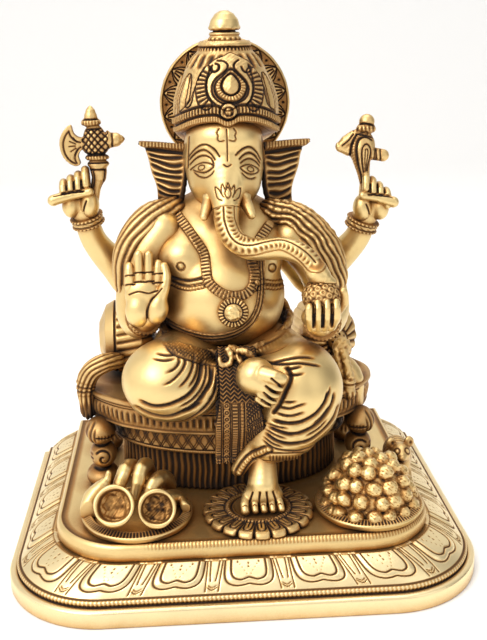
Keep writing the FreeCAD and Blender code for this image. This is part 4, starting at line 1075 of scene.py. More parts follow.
def make_torso():
    """The bare torso with its breast marks, chest bands and creases."""
    form = torso_clay().form()
    u, v = front_view(form, -28)
    front = faces_front(form)
    for x, z in ((-33.2, 188), (21.6, 185.5)):
        spot = np.hypot(u - x, v - z)
        form.relief += front * (0.7 * bump(spot, 1.6))
        ring = front * bump(spot - 2.4, 0.8)
        form.relief -= 0.55 * ring
        form.stain(ring)
    for chest, drop in ((0, 0), (1, 3.4)):
        for points in ([(-44, 184 - drop), (-39, 181.2 - drop), (-30, 177.6 - drop), (-20, 178.4 - drop)],
                       [(11, 176 - drop), (16.4, 177 - drop), (24.4, 176.6 - drop), (33, 180 - drop)]):
            form.cord(u, v, points, 1.2, 0.9, 0 if chest == 0 else 1.8, where=front)
    form.groove(u, v, [(-44, 147), (-25, 138.5), (-5, 136), (16, 138.5), (29, 147)], 2.2, 1.6, where=front)
    form.groove(u, v, [(-46, 190), (-42, 183), (-30, 179.5), (-19, 181)], 1.2, 0.8, where=front)
    form.relief += 0.25 * noise(form.points, 30, 11)
    form.settle()
    finish_piece(form, "torso_casting", ["torso"], POLISHED)
    return form


def worn_strip(torso, where, raise_by, name, nodes, look=None):
    """A strip that follows the torso's surface inside a mask, raised by its own relief."""
    strip = torso.peel(where, 0)
    kept = strip.source
    strip.points = strip.points + strip.normals * raise_by["height"][kept][:, None]
    strip.patina = raise_by["dark"][kept]
    strip.normals = strip.facing()
    closed = strip.close_back(1.6)
    return finish_piece(closed, name, nodes, look or ANTIQUED, rounds=3)


def make_ornaments(torso):
    """The radial-ribbed collar, its inner cord, the pendant and the triple thread."""
    u, v = front_view(torso, -26)
    front = faces_front(torso, 4) > 0.5
    away, along, _ = track(u, v, NECKLACE, 6)
    body = ease((3.6 - np.abs(away)) / 1.0)
    ribs = wave(along, 2.15)
    edge = bump(np.abs(away) - 3.1, 0.8)
    height = -1.6 + body * (3.0 + 0.75 * ribs * (np.abs(away) < 2.7) + 0.5 * edge)
    dark = (1 - ribs) ** 2 * (np.abs(away) < 2.5) * 0.95 + (1 - body) * 0.9
    worn_strip(torso, (np.abs(away) < 4.6) & front, {"height": height, "dark": dark}, "necklace_collar",
               ["necklace"])
    away, along, _ = track(torso.points[:, 0], v, THREAD, 5)
    body = ease((2.9 - np.abs(away)) / 0.9)
    strands = wave(away, 1.95)
    height = -1.5 + body * (1.9 + 0.9 * strands)
    dark = (1 - strands) ** 2 + (1 - body)
    worn_strip(torso, (np.abs(away) < 3.8) & front, {"height": height, "dark": np.clip(dark, 0, 1)},
               "sacred_thread_strands", ["sacred_thread"])
    low = span("pendant")[0]
    radii, heights = profile_steps([(0.6, -2), (8.6, -2), (9.2, 0), (8.7, 1.4), (6.2, 1.9), (5.6, 1.2),
                                    (5, 1.3), (3.4, 2.6),
                                    (0.6, 3.2)], 0.4)
    form, out, angle = polar(radii, heights, 180, (0, 0, 0))
    ribs = wave(angle, TURN / 24) * ((out > 5.4) & (form.points[:, 2] > 0))
    form.relief -= 0.6 * ribs
    form.stain(ribs * 0.8 + bump(out - 5.5, 0.6) * (form.points[:, 2] > 0))
    form.relief += 0.25 * noise(form.points, 2.4, 21) * (out < 4.6)
    form.settle()
    tip = np.array(Matrix.Rotation(math.radians(86), 3, "X"))
    form.points = form.points @ tip.T + (PENDANT[0], low[1] + 1.2, PENDANT[1] - 1.5)
    form.normals = form.facing()
    finish_piece(form, "pendant_disc", ["pendant"], POLISHED)


def make_belt():
    """The rolled waistband in uneven folds, and the knot with its two loops and short ends."""
    low, high = span("waist_belt")
    clay = Clay(low - (6, 14, 8), high + (6, 6, 8), 0.6)
    drawn = np.random.default_rng(5)
    for layer in range(3):
        stations = []
        for angle in np.linspace(0, TURN, 37):
            x = -6 + (41.5 - layer) * math.cos(angle)
            y = 9 - 38.5 * math.sin(angle)
            z = 133.5 + 0.0066 * (x + 6) ** 2 - 2.6 * layer + (6 if y > 20 else 0) * (1 - layer * 0.3)
            stations.append((x, y, z + drawn.uniform(-0.5, 0.5), 2.3 + drawn.uniform(-0.4, 0.5)))
        clay.limb(stations, 0.6)
    clay.oval((-4, -40, 137.5), (4.5, 5, 4.5), 0.8)
    for stations in (((-7, -45, 141, 1.5), (-4.8, -47, 136.6, 1.7), (-7.6, -49, 133, 1.7),
                      (-11.4, -48.5, 133.4, 1.6), (-12.2, -47, 136.6, 1.3)),
                     ((-1, -46, 140.6, 1.7), (3.6, -47.5, 139.8, 2.0), (6.4, -48, 136.6, 1.7),
                      (4.2, -49, 133.6, 1.5)),
                     ((-2, -47, 137.4, 1.8), (0.4, -50, 134, 1.7), (-1.4, -51.5, 130.6, 1.3))):
        clay.limb(stations, 0.5)
    form = clay.form()
    form.relief += 0.4 * noise(form.points, 5, 4) + 0.3 * noise(form.points, 2.6, 14)
    form.settle()
    return finish_piece(form, "waist_belt_folds", ["waist_belt"], ANTIQUED, cavity=1.2, rounds=8)


# ---- Legs and feet ----

def folds(form, u, v, curves, half, depth, where):
    """Several creases of one width."""
    for points in curves:
        form.groove(u, v, points, half, depth, where=where, taper=5)


WAIST_LACE = [(-48, 154), (-44, 147.6), (-38.5, 142), (-31, 138.4), (-24, 135.6), (-15, 133.4), (-8, 132.4)]
WAIST_ROPE = [(8, 136), (16, 137.6), (24, 141), (31, 146), (37, 152)]


def waist_lace(form, front):
    """The laced chain on the left and the rope on the right, along the belly's lower edge."""
    u, v = front_view(form, -36)
    away = track(u, v, WAIST_LACE, 6)[0]
    lace = ease((4.2 - np.abs(away)) / 1.2) * front
    threads = wave(u + v + 1.5 * noise(form.points, 6, 51), 2.6) * wave(u - v, 2.2)
    form.relief += lace * (0.5 + 1.1 * threads)
    form.stain(lace * (0.85 - 0.85 * threads))
    form.groove(u, v, [(x, z - 4.6) for x, z in WAIST_LACE], 0.9, 1.0, where=front)
    form.cord(u, v, WAIST_ROPE, 2.6, 1.2, 2.4, where=front)
    form.groove(u, v, [(x + 1.4, z - 3) for x, z in WAIST_ROPE], 0.8, 0.9, where=front)


def make_leg_left():
    """The crossed leg: a smooth round knee, with the cloth gathered in curved folds under it."""
    low, high = span("leg_left")
    clay = Clay(low - (6, 8, 12), high + (8, 6, 6), 0.7)
    clay.limb(((-18, 14, 120, 24), (-30, -12, 119, 26), (-42, -30, 118, 25)), 3)
    clay.oval((-43, -34, 119.5), (27.5, 26, 24), 3)
    clay.limb(((-40, -30, 112, 20), (-22, -38, 116, 15), (-6, -40, 121, 9.5)), 3)
    clay.oval((-38, -27, 108.5), (29.5, 28, 15), 2.5)
    clay.flatten((0, 0, 93), (0, 0, -1), 3)
    form = clay.form()
    front = faces_front(form, 2.0)
    u, v = front_view(form, -52)
    folds(form, u, v, ([(-36.3, 141.3), (-35.5, 137.3), (-38.1, 133.5), (-43.5, 130.7)],
                       [(-32.6, 141), (-32, 136.5), (-34.5, 131.3), (-39.6, 126.2), (-45.3, 123.4)],
                       [(-28, 141), (-27.5, 135), (-29.6, 129.1), (-32.8, 124.6), (-36.7, 121.4)]), 1.2,
                       1.3, front)
    folds(form, u, v, ([(-22.4, 139), (-23.2, 129.7), (-25.3, 123.1), (-29.9, 117.2), (-36.3, 113.4),
                        (-43.4, 111),
                        (-51.6, 110.7), (-60, 114.8)],
                       [(-17.7, 135), (-17.6, 125.4), (-21, 118.1), (-26.9, 110.1), (-35.3, 105.7),
                        (-43.7, 103.3),
                        (-53.1, 105.1), (-63, 111)]), 1.9, 2.4, front)
    folds(form, u, v, ([(-14.5, 130), (-14.8, 119.8), (-18.5, 111.7), (-24.5, 105), (-33.6, 99.8),
                        (-43.2, 98.8),
                        (-53.4, 100.8), (-60, 105)],
                       [(-20.4, 137), (-20.3, 128), (-23, 120), (-28.5, 113.5), (-36, 109.3)],
                       [(-12, 124), (-13.6, 113), (-19, 105), (-29, 98), (-40, 95.6), (-50, 97)],
                       [(-25, 138.5), (-25, 132), (-27.2, 126), (-31, 121)],
                       [(-22, 112.5), (-29, 107.6), (-37, 104.5)], [(-17, 107), (-24, 101.2), (-33, 97.6)]),
                       1.1, 1.1, front)
    folds(form, u, v, ([(-52, 140), (-44, 138.5), (-37, 139.5)], [(-50, 143), (-42, 141.5), (-35, 142.5)]),
          1.2, 0.9, 1.0)
    waist_lace(form, front)
    form.relief += 0.25 * noise(form.points, 26, 31)
    form.settle()
    return finish_piece(form, "leg_left_dhoti", ["leg_left"], POLISHED, cavity=1.0, rounds=8)


def make_leg_right():
    """The lowered leg: a round knee in a swirl of folds that gather to a ribbed hem at the ankle."""
    low, high = span("leg_right")
    clay = Clay(low - (6, 8, 3), high + (8, 6, 6), 0.7)
    clay.limb(((8, 14, 120, 25), (22, -10, 116, 27), (34, -32, 110, 27)), 3)
    clay.oval((34, -35, 112), (28.5, 28, 29), 3)
    clay.oval((30, -40, 97), (27.5, 23, 20), 5)
    clay.limb(((26, -44, 90, 20), (18, -47, 84, 14), (15, -46, 81, 10)), 5)
    clay.limb(((10, -45, 82, 8.5), (20, -44, 81, 9), (30, -40, 80.5, 7.5)), 3)
    clay.limb(((9, -47, 80, 6.5), (3, -48, 73, 5.5), (-2, -47, 65, 4.5)), 2)
    clay.limb(((13.2, -45, 78, 6.8), (13, -47, 70, 7.2)), 0.6)
    form = clay.form()
    front = faces_front(form, 2.0)
    u, v = front_view(form, -63)
    folds(form, u, v, ([(23.5, 134.9), (28.1, 134), (36, 135.5)], [(24.5, 131.5), (30.1, 130.2), (37, 131.2)],
                       [(16, 137), (25.3, 139.6), (34.6, 140.6), (43, 139.7)],
                       [(9.7, 139.8), (15.7, 137.6), (24.9, 136.9), (34.2, 137), (47, 134.6)],
                       [(22, 114.4), (27.4, 113.6), (32, 114.6)],
                       [(19.5, 111.7), (26.7, 109.7), (32.1, 111.2), (37.5, 113.2)],
                       [(18, 107.9), (24.1, 105.7), (29.4, 105.4), (36.5, 107.6)]), 1.2, 1.3, front)
    folds(form, u, v, ([(16, 103.5), (24.3, 101), (32.3, 101), (38.4, 103.3), (43.7, 107), (48.4, 113.3),
                        (50.2, 120)],
                       [(13.7, 99.5), (20.4, 96.2), (28.5, 93.8), (36.7, 95.6), (44.8, 100.3),
                        (50.8, 107.3), (53.4, 113),
                        (54.2, 119)],
                       [(11.9, 95.8), (18.6, 90.4), (27.4, 87.6), (38.3, 88.7), (47.1, 94.2), (54.5, 101.9),
                        (57.4, 110)]),
          1.7, 2.0, front)
    folds(form, u, v, ([(10.6, 91.3), (16.7, 85.9), (24.9, 83.4), (34.5, 82.6), (44.8, 86), (52.3, 92)],
                       [(13, 101.5), (20, 98.8), (27, 97.6)], [(12, 98), (19, 93.6), (26, 91)],
                       [(11, 93.4), (17, 88.3), (24, 85.6)], [(46, 110), (50.5, 117), (51.4, 123)],
                       [(40, 98.8), (46, 103.6), (51, 110)], [(36, 91.8), (44, 96), (50, 101.6)]), 1.0, 1.1,
                       front)
    form.groove(u, v, [(26.1, 134.6), (28.1, 128.7), (24.5, 120.2), (21.2, 112.4), (17.9, 107.8)], 1.8, 1.6,
                where=front)
    u, v = front_view(form, -54)
    braid = [(15, 81.6), (11, 79.8), (4.5, 75.4), (0.8, 71), (-2.4, 65.5)]
    form.cord(u, v, braid, 2.4, 1.3, 2.0, where=front)
    form.groove(u, v, [(x + 2.4, z - 1.8) for x, z in braid], 0.8, 0.9, where=front)
    form.groove(u, v, [(x - 2.2, z + 2.0) for x, z in braid], 0.8, 0.9, where=front)
    band = bump(v - 75.6 + 0.09 * (u - 18), 2.9) * ease((u - 15) / 1.5) * front
    ticks = wave(u, 1.9)
    form.relief += band * (1.1 * ticks - 0.3)
    form.stain(0.9 * np.minimum(band * 1.6, 1) * (1 - ticks))
    form.groove(u, v, [(14, 79.4), (19, 79), (27, 78.6), (36, 78)], 0.8, 0.9, where=front)
    form.groove(u, v, [(5.5, 75), (9, 74), (14, 73.6), (19, 73), (27, 72.4), (34, 72)], 0.9, 0.9, where=front)
    waist_lace(form, front)
    form.relief += 0.25 * noise(form.points, 26, 32)
    form.settle()
    return finish_piece(form, "leg_right_dhoti", ["leg_right"], POLISHED, cavity=1.0, rounds=8)


def make_foot_left():
    """The crossed foot: a smooth instep, with its five toes stacked at the right end."""
    low, high = span("foot_left")
    clay = Clay(low - (8, 10, 8), high + (8, 8, 8), 0.5)
    clay.oval((8, -57, 128.3), (11.2, 9.5, 10.8), 2)
    clay.limb(((8, -58, 128.6, 9.8), (13.5, -61.5, 125.6, 8.2)), 3)
    toes = (((12, -64, 132, 5.0), (18, -67.5, 131.4, 4.4), (21.2, -67.5, 130.4, 3.9)),
            ((13.5, -66, 128.8, 2.6), (18.6, -68.5, 125.5, 2.3), (20.8, -68, 124.5, 2.1)),
            ((11.4, -66.5, 124.8, 2.5), (16.2, -68.5, 121.2, 2.1), (18.9, -67.5, 120.2, 1.9)),
            ((10, -66, 120.8, 2.4), (14.6, -68, 117.4, 2.0), (17.5, -67, 116.2, 1.8)),
            ((8.6, -65, 117.6, 2.0), (12.6, -66.5, 114.8, 1.7), (15, -66, 113.8, 1.4)))
    for toe in toes:
        clay.limb(toe, 0.5)
    form = clay.form()
    u, v = front_view(form, -68)
    front = faces_front(form)
    for line in ([(16, 131.1), (18.2, 128.9), (21, 126.4), (24, 126.2)],
                 [(13, 126.5), (16.6, 123.4), (21.5, 121.9)],
                 [(11.8, 122.3), (16.1, 118.7), (20, 117.4)], [(10.5, 118.1), (13.7, 115.8), (17.5, 113.6)]):
        form.groove(u, v, line, 0.95, 1.4, where=front)
    form.settle()
    return finish_piece(form, "foot_left_casting", ["foot_left"], POLISHED, rounds=5)


def make_foot_right():
    """The lowered foot, with its toes on the lotus."""
    low, high = span("foot_right")
    clay = Clay(low - (8, 10, 4), high + (8, 6, 6), 0.5)
    clay.limb(((13.2, -44, 78, 6.9), (12.8, -48, 66, 8), (12, -52, 57, 9.3)), 3)
    clay.oval((11.8, -53.5, 50.5), (12.3, 7.5, 7), 3)
    toes = ((0.6, 3.0), (6.4, 2.35), (11.6, 2.3), (16.6, 2.25), (21.6, 2.2))
    for x, thick in toes:
        root = 11.6 + (x - 11.6) * 0.86
        clay.limb(((root, -54, 50.5, thick), (x, -59, 47.4, thick), (x * 1.03, -62, 45, thick * 0.95)), 0.4)
    clay.flatten((0, 0, low[2] - 0.2), (0, 0, -1), 0.5)
    form = clay.form()
    u, v = front_view(form, -58)
    for x in (3.6, 9.1, 14.2, 19.2):
        form.groove(u, v, [(11.6 + (x - 11.6) * 0.8, 55), (x, 49), (x, 44)], 0.8, 1.2,
                    where=faces_front(form))
    for x, thick in toes:
        form.groove(u, v, [(x - thick * 0.45, 46.8), (x, 47.6), (x + thick * 0.45, 46.8)], 0.35, 0.3,
                    where=faces_front(form))
    form.settle()
    return finish_piece(form, "foot_right_casting", ["foot_right"], POLISHED, rounds=5)


# ---- Head ----

def signed_gap(u, v, outline):
    """Distance from a closed outline, negative inside it."""
    away, _, _ = track(u, v, outline, FAR, closed=True)
    curve = smooth_curve(outline, closed=True)
    inside = np.zeros(len(u), bool)
    for (x1, z1), (x2, z2) in zip(curve[:-1], curve[1:]):
        crossing = (z1 > v) != (z2 > v)
        if z1 != z2:
            inside ^= crossing & (u < x1 + (v - z1) * (x2 - x1) / (z2 - z1))
    return np.where(inside, -np.abs(away), np.abs(away))


TRUNK_CUT = ((-5, -17, 218.5), (0.05, -0.42, -0.91))
TRUNK_MIDLINE = [(-6.7, 222), (-6.6, 216), (-6.2, 212), (-3, 202.8), (2.2, 198), (9, 197), (17, 198.7),
                 (25.2, 199.5),
                 (32, 197), (39.5, 191.4), (45, 185)]


def head_clay(low, high):
    """Skull, brow, cheeks and trunk in one piece of clay."""
    clay = Clay(low, high, 0.6)
    clay.oval((-4, 15, 245), (25, 25, 27), 2)
    clay.oval((-4, 6, 258), (22, 20.5, 15), 6)
    clay.oval((-4, 7, 229), (20.5, 18, 16), 8)
    clay.oval((-4, -1, 236), (14.5, 14, 14), 6)
    clay.limb(((-4, -3, 240, 11), (-4.3, -9.5, 230, 9.6), (-5, -16.5, 220, 8.2), (-4.5, -22, 209, 7),
               (-1, -27, 202.5, 6.6),
               (5, -30, 198.5, 6.5), (12, -33, 197.5, 6.5), (27, -38, 198.5, 6.5), (39, -42, 194, 6.2),
               (45.5, -45, 184, 5.8)), 7)
    return clay


def engrave_face(form):
    """Eyes, brows, the trident mark and the lotus on the root of the trunk."""
    u, v = front_view(form, -10)
    front = faces_front(form)

    def line(points, half=0.7, depth=0.7, closed=False, taper=0):
        form.groove(u, v, points, half, depth, closed, front, taper)

    for x, z, wide in ((-18, 242.4, 6.3), (9.6, 240.6, 5.6)):
        lens = ((u - x) / wide) ** 2 + ((v - z) / 3.2) ** 2
        form.relief += 1.0 * front * ease(1.25 - lens)
        line(circle(x, z, 1.5, wide=1.25), 0.55, 0.5, closed=True)
    line([(-25.5, 243), (-21.6, 244.6), (-17.6, 245.4), (-13.6, 244.2), (-11.4, 242.4), (-13.5, 240.2),
          (-17, 239.2),
          (-20.6, 240.6), (-23, 242.2)])
    line([(-23.4, 241.4), (-20.5, 237.8), (-16.5, 236), (-12.8, 237.4), (-10.8, 240)], taper=2)
    line([(4.4, 240.8), (6.6, 242.6), (9.4, 243.4), (12.6, 243), (15.6, 241.6), (13, 238.8), (9.4, 237.7),
          (6.2, 238.8)],
         closed=True)
    line([(4.6, 238.4), (7.6, 235.6), (10.6, 235), (14, 237)], taper=2)
    for brow in ([(-27, 250.4), (-21, 254.4), (-16, 255.2), (-10.7, 252), (-7.2, 247)],
                 [(-26.5, 248.6), (-21.4, 251.8), (-16.7, 252.3), (-12.7, 249.5), (-10.2, 245.3)],
                 [(-26.5, 245.6), (-21.5, 248.8), (-16.8, 249.3), (-12.8, 247), (-11.2, 242.8)],
                 [(1.2, 247.8), (5.4, 251.7), (10, 253.6), (14, 251.7), (17.5, 247.4)],
                 [(3.4, 245.6), (6.6, 249), (10.2, 250.4), (13.6, 249), (17, 245.4)],
                 [(4, 243.2), (7, 246), (10.2, 247.2), (13.6, 246.2), (16.6, 243.6)]):
        line(brow, 0.8, 0.8, taper=1.5)
    for brow in ([(-25, 250.5), (-21, 253.2), (-16.4, 253.8), (-11.6, 250.8)],
                 [(3, 248), (6, 250.6), (10, 252), (14, 250)]):
        away, _, _ = track(u, v, brow, 2)
        form.relief += 0.5 * bump(away, 1.6) * front
    line([(-7.6, 264), (-8.9, 261.4), (-8.2, 259.3), (-8.7, 257.4), (-7.4, 256.2), (-4.9, 256.5)], 0.6, 0.6)
    line([(0.9, 264), (2.3, 261.6), (1.5, 259.3), (2.2, 257.4), (0.9, 256.2), (-1.6, 256.6)], 0.6, 0.6)
    line([(-3.2, 263.4), (-3.1, 252), (-2.9, 245)], 0.65, 0.7)
    line([(-5.2, 242.6), (-3.2, 241.4), (-1, 242.6)], 0.7, 0.7)
    for side, x, depth in ((-1, -25.8, 1.0), (1, 18, 1.0)):
        line([(x, 262), (x + side * 0.8, 254), (x + side * 1.4, 245)], 0.9, depth)
    u, v = front_view(form, -16)
    for petal in ([(-6, 224.6), (-7.6, 228), (-6.8, 232.6), (-4.9, 229.4), (-3.4, 233.4), (-1.6, 229.4),
                   (0.2, 232),
                   (0.6, 228), (-0.6, 224.6)],
                  [(-7, 222.6), (-10, 224.6), (-11.2, 231.2), (-8.8, 229.4), (-7.8, 227.4)],
                  [(0, 222.6), (3, 224.8), (4, 230.4), (1.8, 229.2), (0.8, 227.2)],
                  [(-3.4, 231), (-5.2, 227), (-3.4, 223.8), (-1.6, 227), (-3.4, 231)]):
        line(petal, 0.55, 0.55)


def make_head():
    """The head down to the root of the trunk."""
    low, high = span("head")
    clay = head_clay(low - (4, 14, 4), high + (4, 3, 3))
    clay.flatten(*TRUNK_CUT, 0.4)
    form = clay.form()
    engrave_face(form)
    form.relief += 0.15 * noise(form.points, 20, 3)
    form.settle()
    return finish_piece(form, "head_casting", ["head"], POLISHED, rounds=5)


def make_trunk():
    """The trunk with its engraved midline and crescents, ending in a lip over the sweet."""
    low, high = span("trunk")
    clay = head_clay(low - (8, 8, 8), high + (8, 6, 8))
    clay.limb(((45, -46, 186, 6.6), (49.5, -47.5, 181.5, 4.6), (53, -48, 180.5, 2.6)), 2)
    point, facing = TRUNK_CUT
    clay.flatten(point, [-part for part in facing], 0.4)
    form = clay.form()
    u, v = front_view(form, -24)
    front = faces_front(form)
    form.groove(u, v, TRUNK_MIDLINE, 0.75, 0.8, where=front)
    away, along, _ = track(u, v, TRUNK_MIDLINE, 9)
    beside = bump(np.abs(away) - 3.6, 2.6) * front
    ribs = wave(along + 0.12 * (np.abs(away) - 4) ** 2, 3.1)
    form.relief += 0.9 * (ribs - 0.6) * beside
    form.stain(0.75 * (1 - ribs) ** 2 * beside)
    for edge in (-6.4, 6.4):
        form.relief -= 0.4 * bump(away - edge, 0.7) * front
        form.stain(0.6 * bump(away - edge, 0.7) * front)
    u, v = front_view(form, -48)
    form.groove(u, v, [(37, 181), (41, 179.5), (46, 178.8), (51, 178.6), (55, 178.4)], 1.2, 1.6, where=front)
    form.settle()
    return finish_piece(form, "trunk_casting", ["trunk"], POLISHED, rounds=5)


def make_tusk(node, side):
    """A short tusk in a rolled socket."""
    low, high = span(node)
    clay = Clay(low - (4, 4, 4), high + (4, 5, 4), 0.45)
    root = (-4 + 9.5 * side, -6, 224)
    middle_x, tip_x = -4 + 12 * side, -4 + 14 * side
    clay.limb(((*root, 4), (middle_x, -13, 219, 3.5), (tip_x, -18, 214.6, 2.5)), 1)
    clay.limb(((root[0] - 3, -8.5, 225, 1.7), (root[0], -10.5, 226, 1.9),
               (root[0] + 3.2, -8.8, 224.5, 1.7)), 1.2)
    form = clay.form()
    return finish_piece(form, node + "_casting", [node], POLISHED, cavity=1.1, rounds=5)


EAR_INNER = {-1: [(-26, 14, 253), (-27.5, 12, 244), (-28.6, 10, 234), (-31, 10, 223), (-33, 12, 212)],
             1: [(20, 14, 253), (20, 12, 244), (20.6, 10, 235), (22, 10, 223), (27, 12, 209)]}
EAR_OUTER = {-1: [(-55, 22, 255), (-51, 22, 247), (-48.6, 21, 236), (-45.6, 20, 226), (-45.5, 20, 214)],
             1: [(49, 22, 254), (44.4, 22, 246), (42.4, 21, 237), (38.2, 20, 223), (39.5, 20, 208)]}


def make_ear(node, side):
    """A fan of ridges under a ticked lip, with a ticked curl at its lower end."""
    rows, columns = 110, 76

    def even(points):
        curve = smooth_curve(points, step=0.2)
        place = np.linspace(0, len(curve) - 1, rows)
        return np.stack([np.interp(place, np.arange(len(curve)), curve[:, axis]) for axis in range(3)], 1)

    inner, outer = even(EAR_INNER[side][::-1]), even(EAR_OUTER[side][::-1])
    first, last = (outer, inner) if side < 0 else (inner, outer)
    share = np.linspace(0, 1, columns)[None, :, None]
    grid = first[:, None] * (1 - share) + last[:, None] * share
    out = np.broadcast_to(1 - share if side < 0 else share, (rows, columns, 1)).reshape(-1)
    up = np.repeat(np.linspace(0, 1, rows), columns)
    form = sheet_of(grid)
    form.relief += 2.5 * np.sin(math.pi * out) * -0.6
    ridge = up * 10.5 + 0.5 * np.sin(math.pi * out) + 0.15 * noise(form.points, 9, 6)
    ribs = wave(ridge, 1)
    field = ease((up - 0.15) * 14) * ease((0.87 - up) * 14) * ease(out * 6) * ease((1 - out) * 12)
    form.relief += 1.6 * (ribs - 0.5) * field
    form.stain(0.95 * (1 - ribs) ** 2.2 * field)
    lip = ease((up - 0.86) * 16)
    ticks = wave(form.points[:, 0], 2.0)
    form.relief += lip * (2.6 + 0.6 * ticks)
    form.stain(lip * (1 - ticks) ** 2 * 0.5)
    # Painted shadow: the line under the lip is darkened as well as cut in.
    shadow = bump(up - 0.855, 0.035)
    form.relief -= 0.9 * shadow
    form.stain(shadow)
    curl = ease((0.13 - up) * 16)
    ticks = wave(form.points[:, 0] + form.points[:, 2] * 0.5, 2.0)
    form.relief += curl * (2.0 + 0.6 * ticks) * np.sin(math.pi * np.clip(out, 0.12, 0.88))
    form.stain(curl * (1 - ticks) ** 2 * 0.8 + 0.8 * bump(up - 0.14, 0.03))
    form.stain(0.8 * bump(out, 0.07))
    form.settle()
    closed = form.close_back(3.4)
    closed.patina[len(form.points):] = 0.15 + 0.4 * bump(closed.points[len(form.points):, 2] - 212, 8)
    return finish_piece(closed, node + "_casting", [node], ANTIQUED, rounds=4)


# ---- Crown, halo and finial ----

CROWN_GEM = [(-0.3, 294.6), (-3.8, 291.6), (-5.2, 287.5), (-3.7, 284), (-0.5, 282.3), (2.7, 283.8),
             (4.1, 287.3),
             (2.8, 291.4)]
CROWN_COLLAR = [(-0.3, 297.5), (-4.5, 293.6), (-7.7, 290.9), (-9.1, 287), (-7.4, 282), (-3.8, 279.3),
                (-0.6, 278.4),
                (3.1, 279), (6.3, 281.6), (8.3, 286.7), (7, 290.6), (3.9, 293.9)]
CROWN_FRAMES = ([(-7.4, 303.6), (-4.4, 303.2), (-2.2, 301.2), (-2, 298.8), (-4.4, 296), (-9.3, 291.7),
                 (-10.9, 287),
                 (-10, 282), (-5.9, 278), (-0.6, 276.8), (3.9, 277.8), (8, 281), (9.7, 285.8), (8.9, 289.4),
                 (6.8, 292.6),
                 (3.8, 295.8), (1.7, 298.6), (1.8, 301.4), (4.1, 304)],)
CROWN_CREST = [(-27, 275), (-24, 281), (-21.4, 288), (-18, 295), (-14, 300.5), (-9.5, 304.5), (-4, 307),
               (-0.5, 309),
               (4, 307), (9, 304.5), (13.5, 300), (17, 294.5), (19.5, 287), (21.5, 279), (24, 273)]


def crown_edge(angle):
    """Height of the crown's lower edge around the head, low at the back and in two arches over the brow."""
    x = -2 + 31 * np.cos(angle)
    arches = 267.6 - 2.6 * bump(x + 2.6, 7) - 0.012 * np.clip(np.abs(x + 2.6) - 8, 0, 40) ** 2.1
    front = np.sin(angle) < 0
    return np.where(front, arches, 250 + (arches - 250) * ease(1 - np.sin(angle) * 1.3))


def make_crown():
    """The crown: two ticked bands, a raised crest with a drop gem, leaves behind, and a flange."""
    corners = [(27, 257), (31, 257.4), (31.2, 266), (31, 275), (30.4, 280), (28.6, 286), (26, 292),
               (23.4, 297.5),
               (19.4, 303), (16, 307.4), (14.2, 309.4), (15.4, 310), (15.6, 311.4), (14.6, 312.6), (9, 313),
               (0.5, 313)]
    radii, heights = profile_steps(corners, 0.42)
    form, out, angle = polar(radii, heights, 620, (-2, 18, 0))
    shift = (crown_edge(angle) - 257) * (1 - ease((form.points[:, 2] - 259) / 26))
    height = form.points[:, 2] - 257
    form.points[:, 2] += shift
    form.normals = form.facing()
    band = form.points[:, 2] - crown_edge(angle)
    skin = (out > 14) & (height > 0.5)
    round_way = angle * 31
    ticks = wave(round_way, 2.1)
    low_band = bump(band - 2.4, 2.2) * skin
    high_band = bump(band - 7.4, 2.6) * skin
    form.relief += 1.0 * ease(low_band * 2) + (1.3 + 0.8 * (ticks - 0.5)) * ease(high_band * 2)
    form.relief += 0.4 * (wave(round_way, 1.5) - 0.5) * ease(low_band * 2)
    form.stain(0.85 * (1 - ticks) ** 2 * ease(high_band * 2)
               + 0.35 * (1 - wave(round_way, 1.5)) ** 2 * ease(low_band * 2))
    for level_line, half in ((4.7, 0.8), (10.4, 0.9), (0.2, 0.9)):
        cut = bump(band - level_line, half) * skin
        form.relief -= 0.5 * cut
        form.stain(cut)
    u, v = front_view(form, -9)
    front = faces_front(form, 3.5) * (out > 13) * (form.points[:, 2] < 309)
    gap = signed_gap(u, v, CROWN_CREST)
    crest = ease(-gap / 0.8) * front * (band > 10)
    form.relief += 1.2 * crest
    form.stain(bump(gap, 0.9) * front * (band > 10))
    lobes = wave(angle, TURN / 20)
    upper = bump(form.points[:, 2] - 301.5, 5.5) * (1 - crest) * skin * (out < 26)
    form.relief += (1.4 * lobes - 0.8) * ease(upper * 1.6)
    form.stain(ease(upper * 1.6) * (1 - lobes) ** 2)
    leaf_row = repeat(angle, TURN / 12) * out
    leaf_up = (form.points[:, 2] - 268) / 27
    half = 6.6 * np.sqrt(np.clip(np.sin(math.pi * np.clip(leaf_up, 0, 1) ** 0.8), 0, 1))
    behind = (1 - ease(crest * 3)) * skin * (band > 11) * (form.points[:, 2] < 296)
    for share, cut in ((1.0, 0.9), (0.55, 0.7)):
        line = bump(np.abs(leaf_row) - share * half, 0.9) * behind * (leaf_up > 0.02) * (leaf_up < 1)
        form.relief -= cut * line
        form.stain(line * 0.95)
    form.relief += 0.8 * behind * bump(np.abs(leaf_row), 2.2) * (half > 3)
    engrave_crest(form, u, v, front)
    form.relief += 0.12 * noise(form.points, 2.2, 9) * skin
    flange = bump(np.hypot(out - 15.6, form.points[:, 2] - 310.4), 1.6)
    form.relief += 0.4 * flange
    notches = wave(angle, TURN / 44) * bump(form.points[:, 2] - 308.2, 1.4) * skin
    form.relief += 0.7 * notches
    form.stain(0.9 * bump(form.points[:, 2] - 308.0, 1.4) * (1 - wave(angle, TURN / 44)) * skin)
    form.settle()
    return finish_piece(form, "crown_casting", ["crown"], ANTIQUED, cavity=1.0, rounds=5)


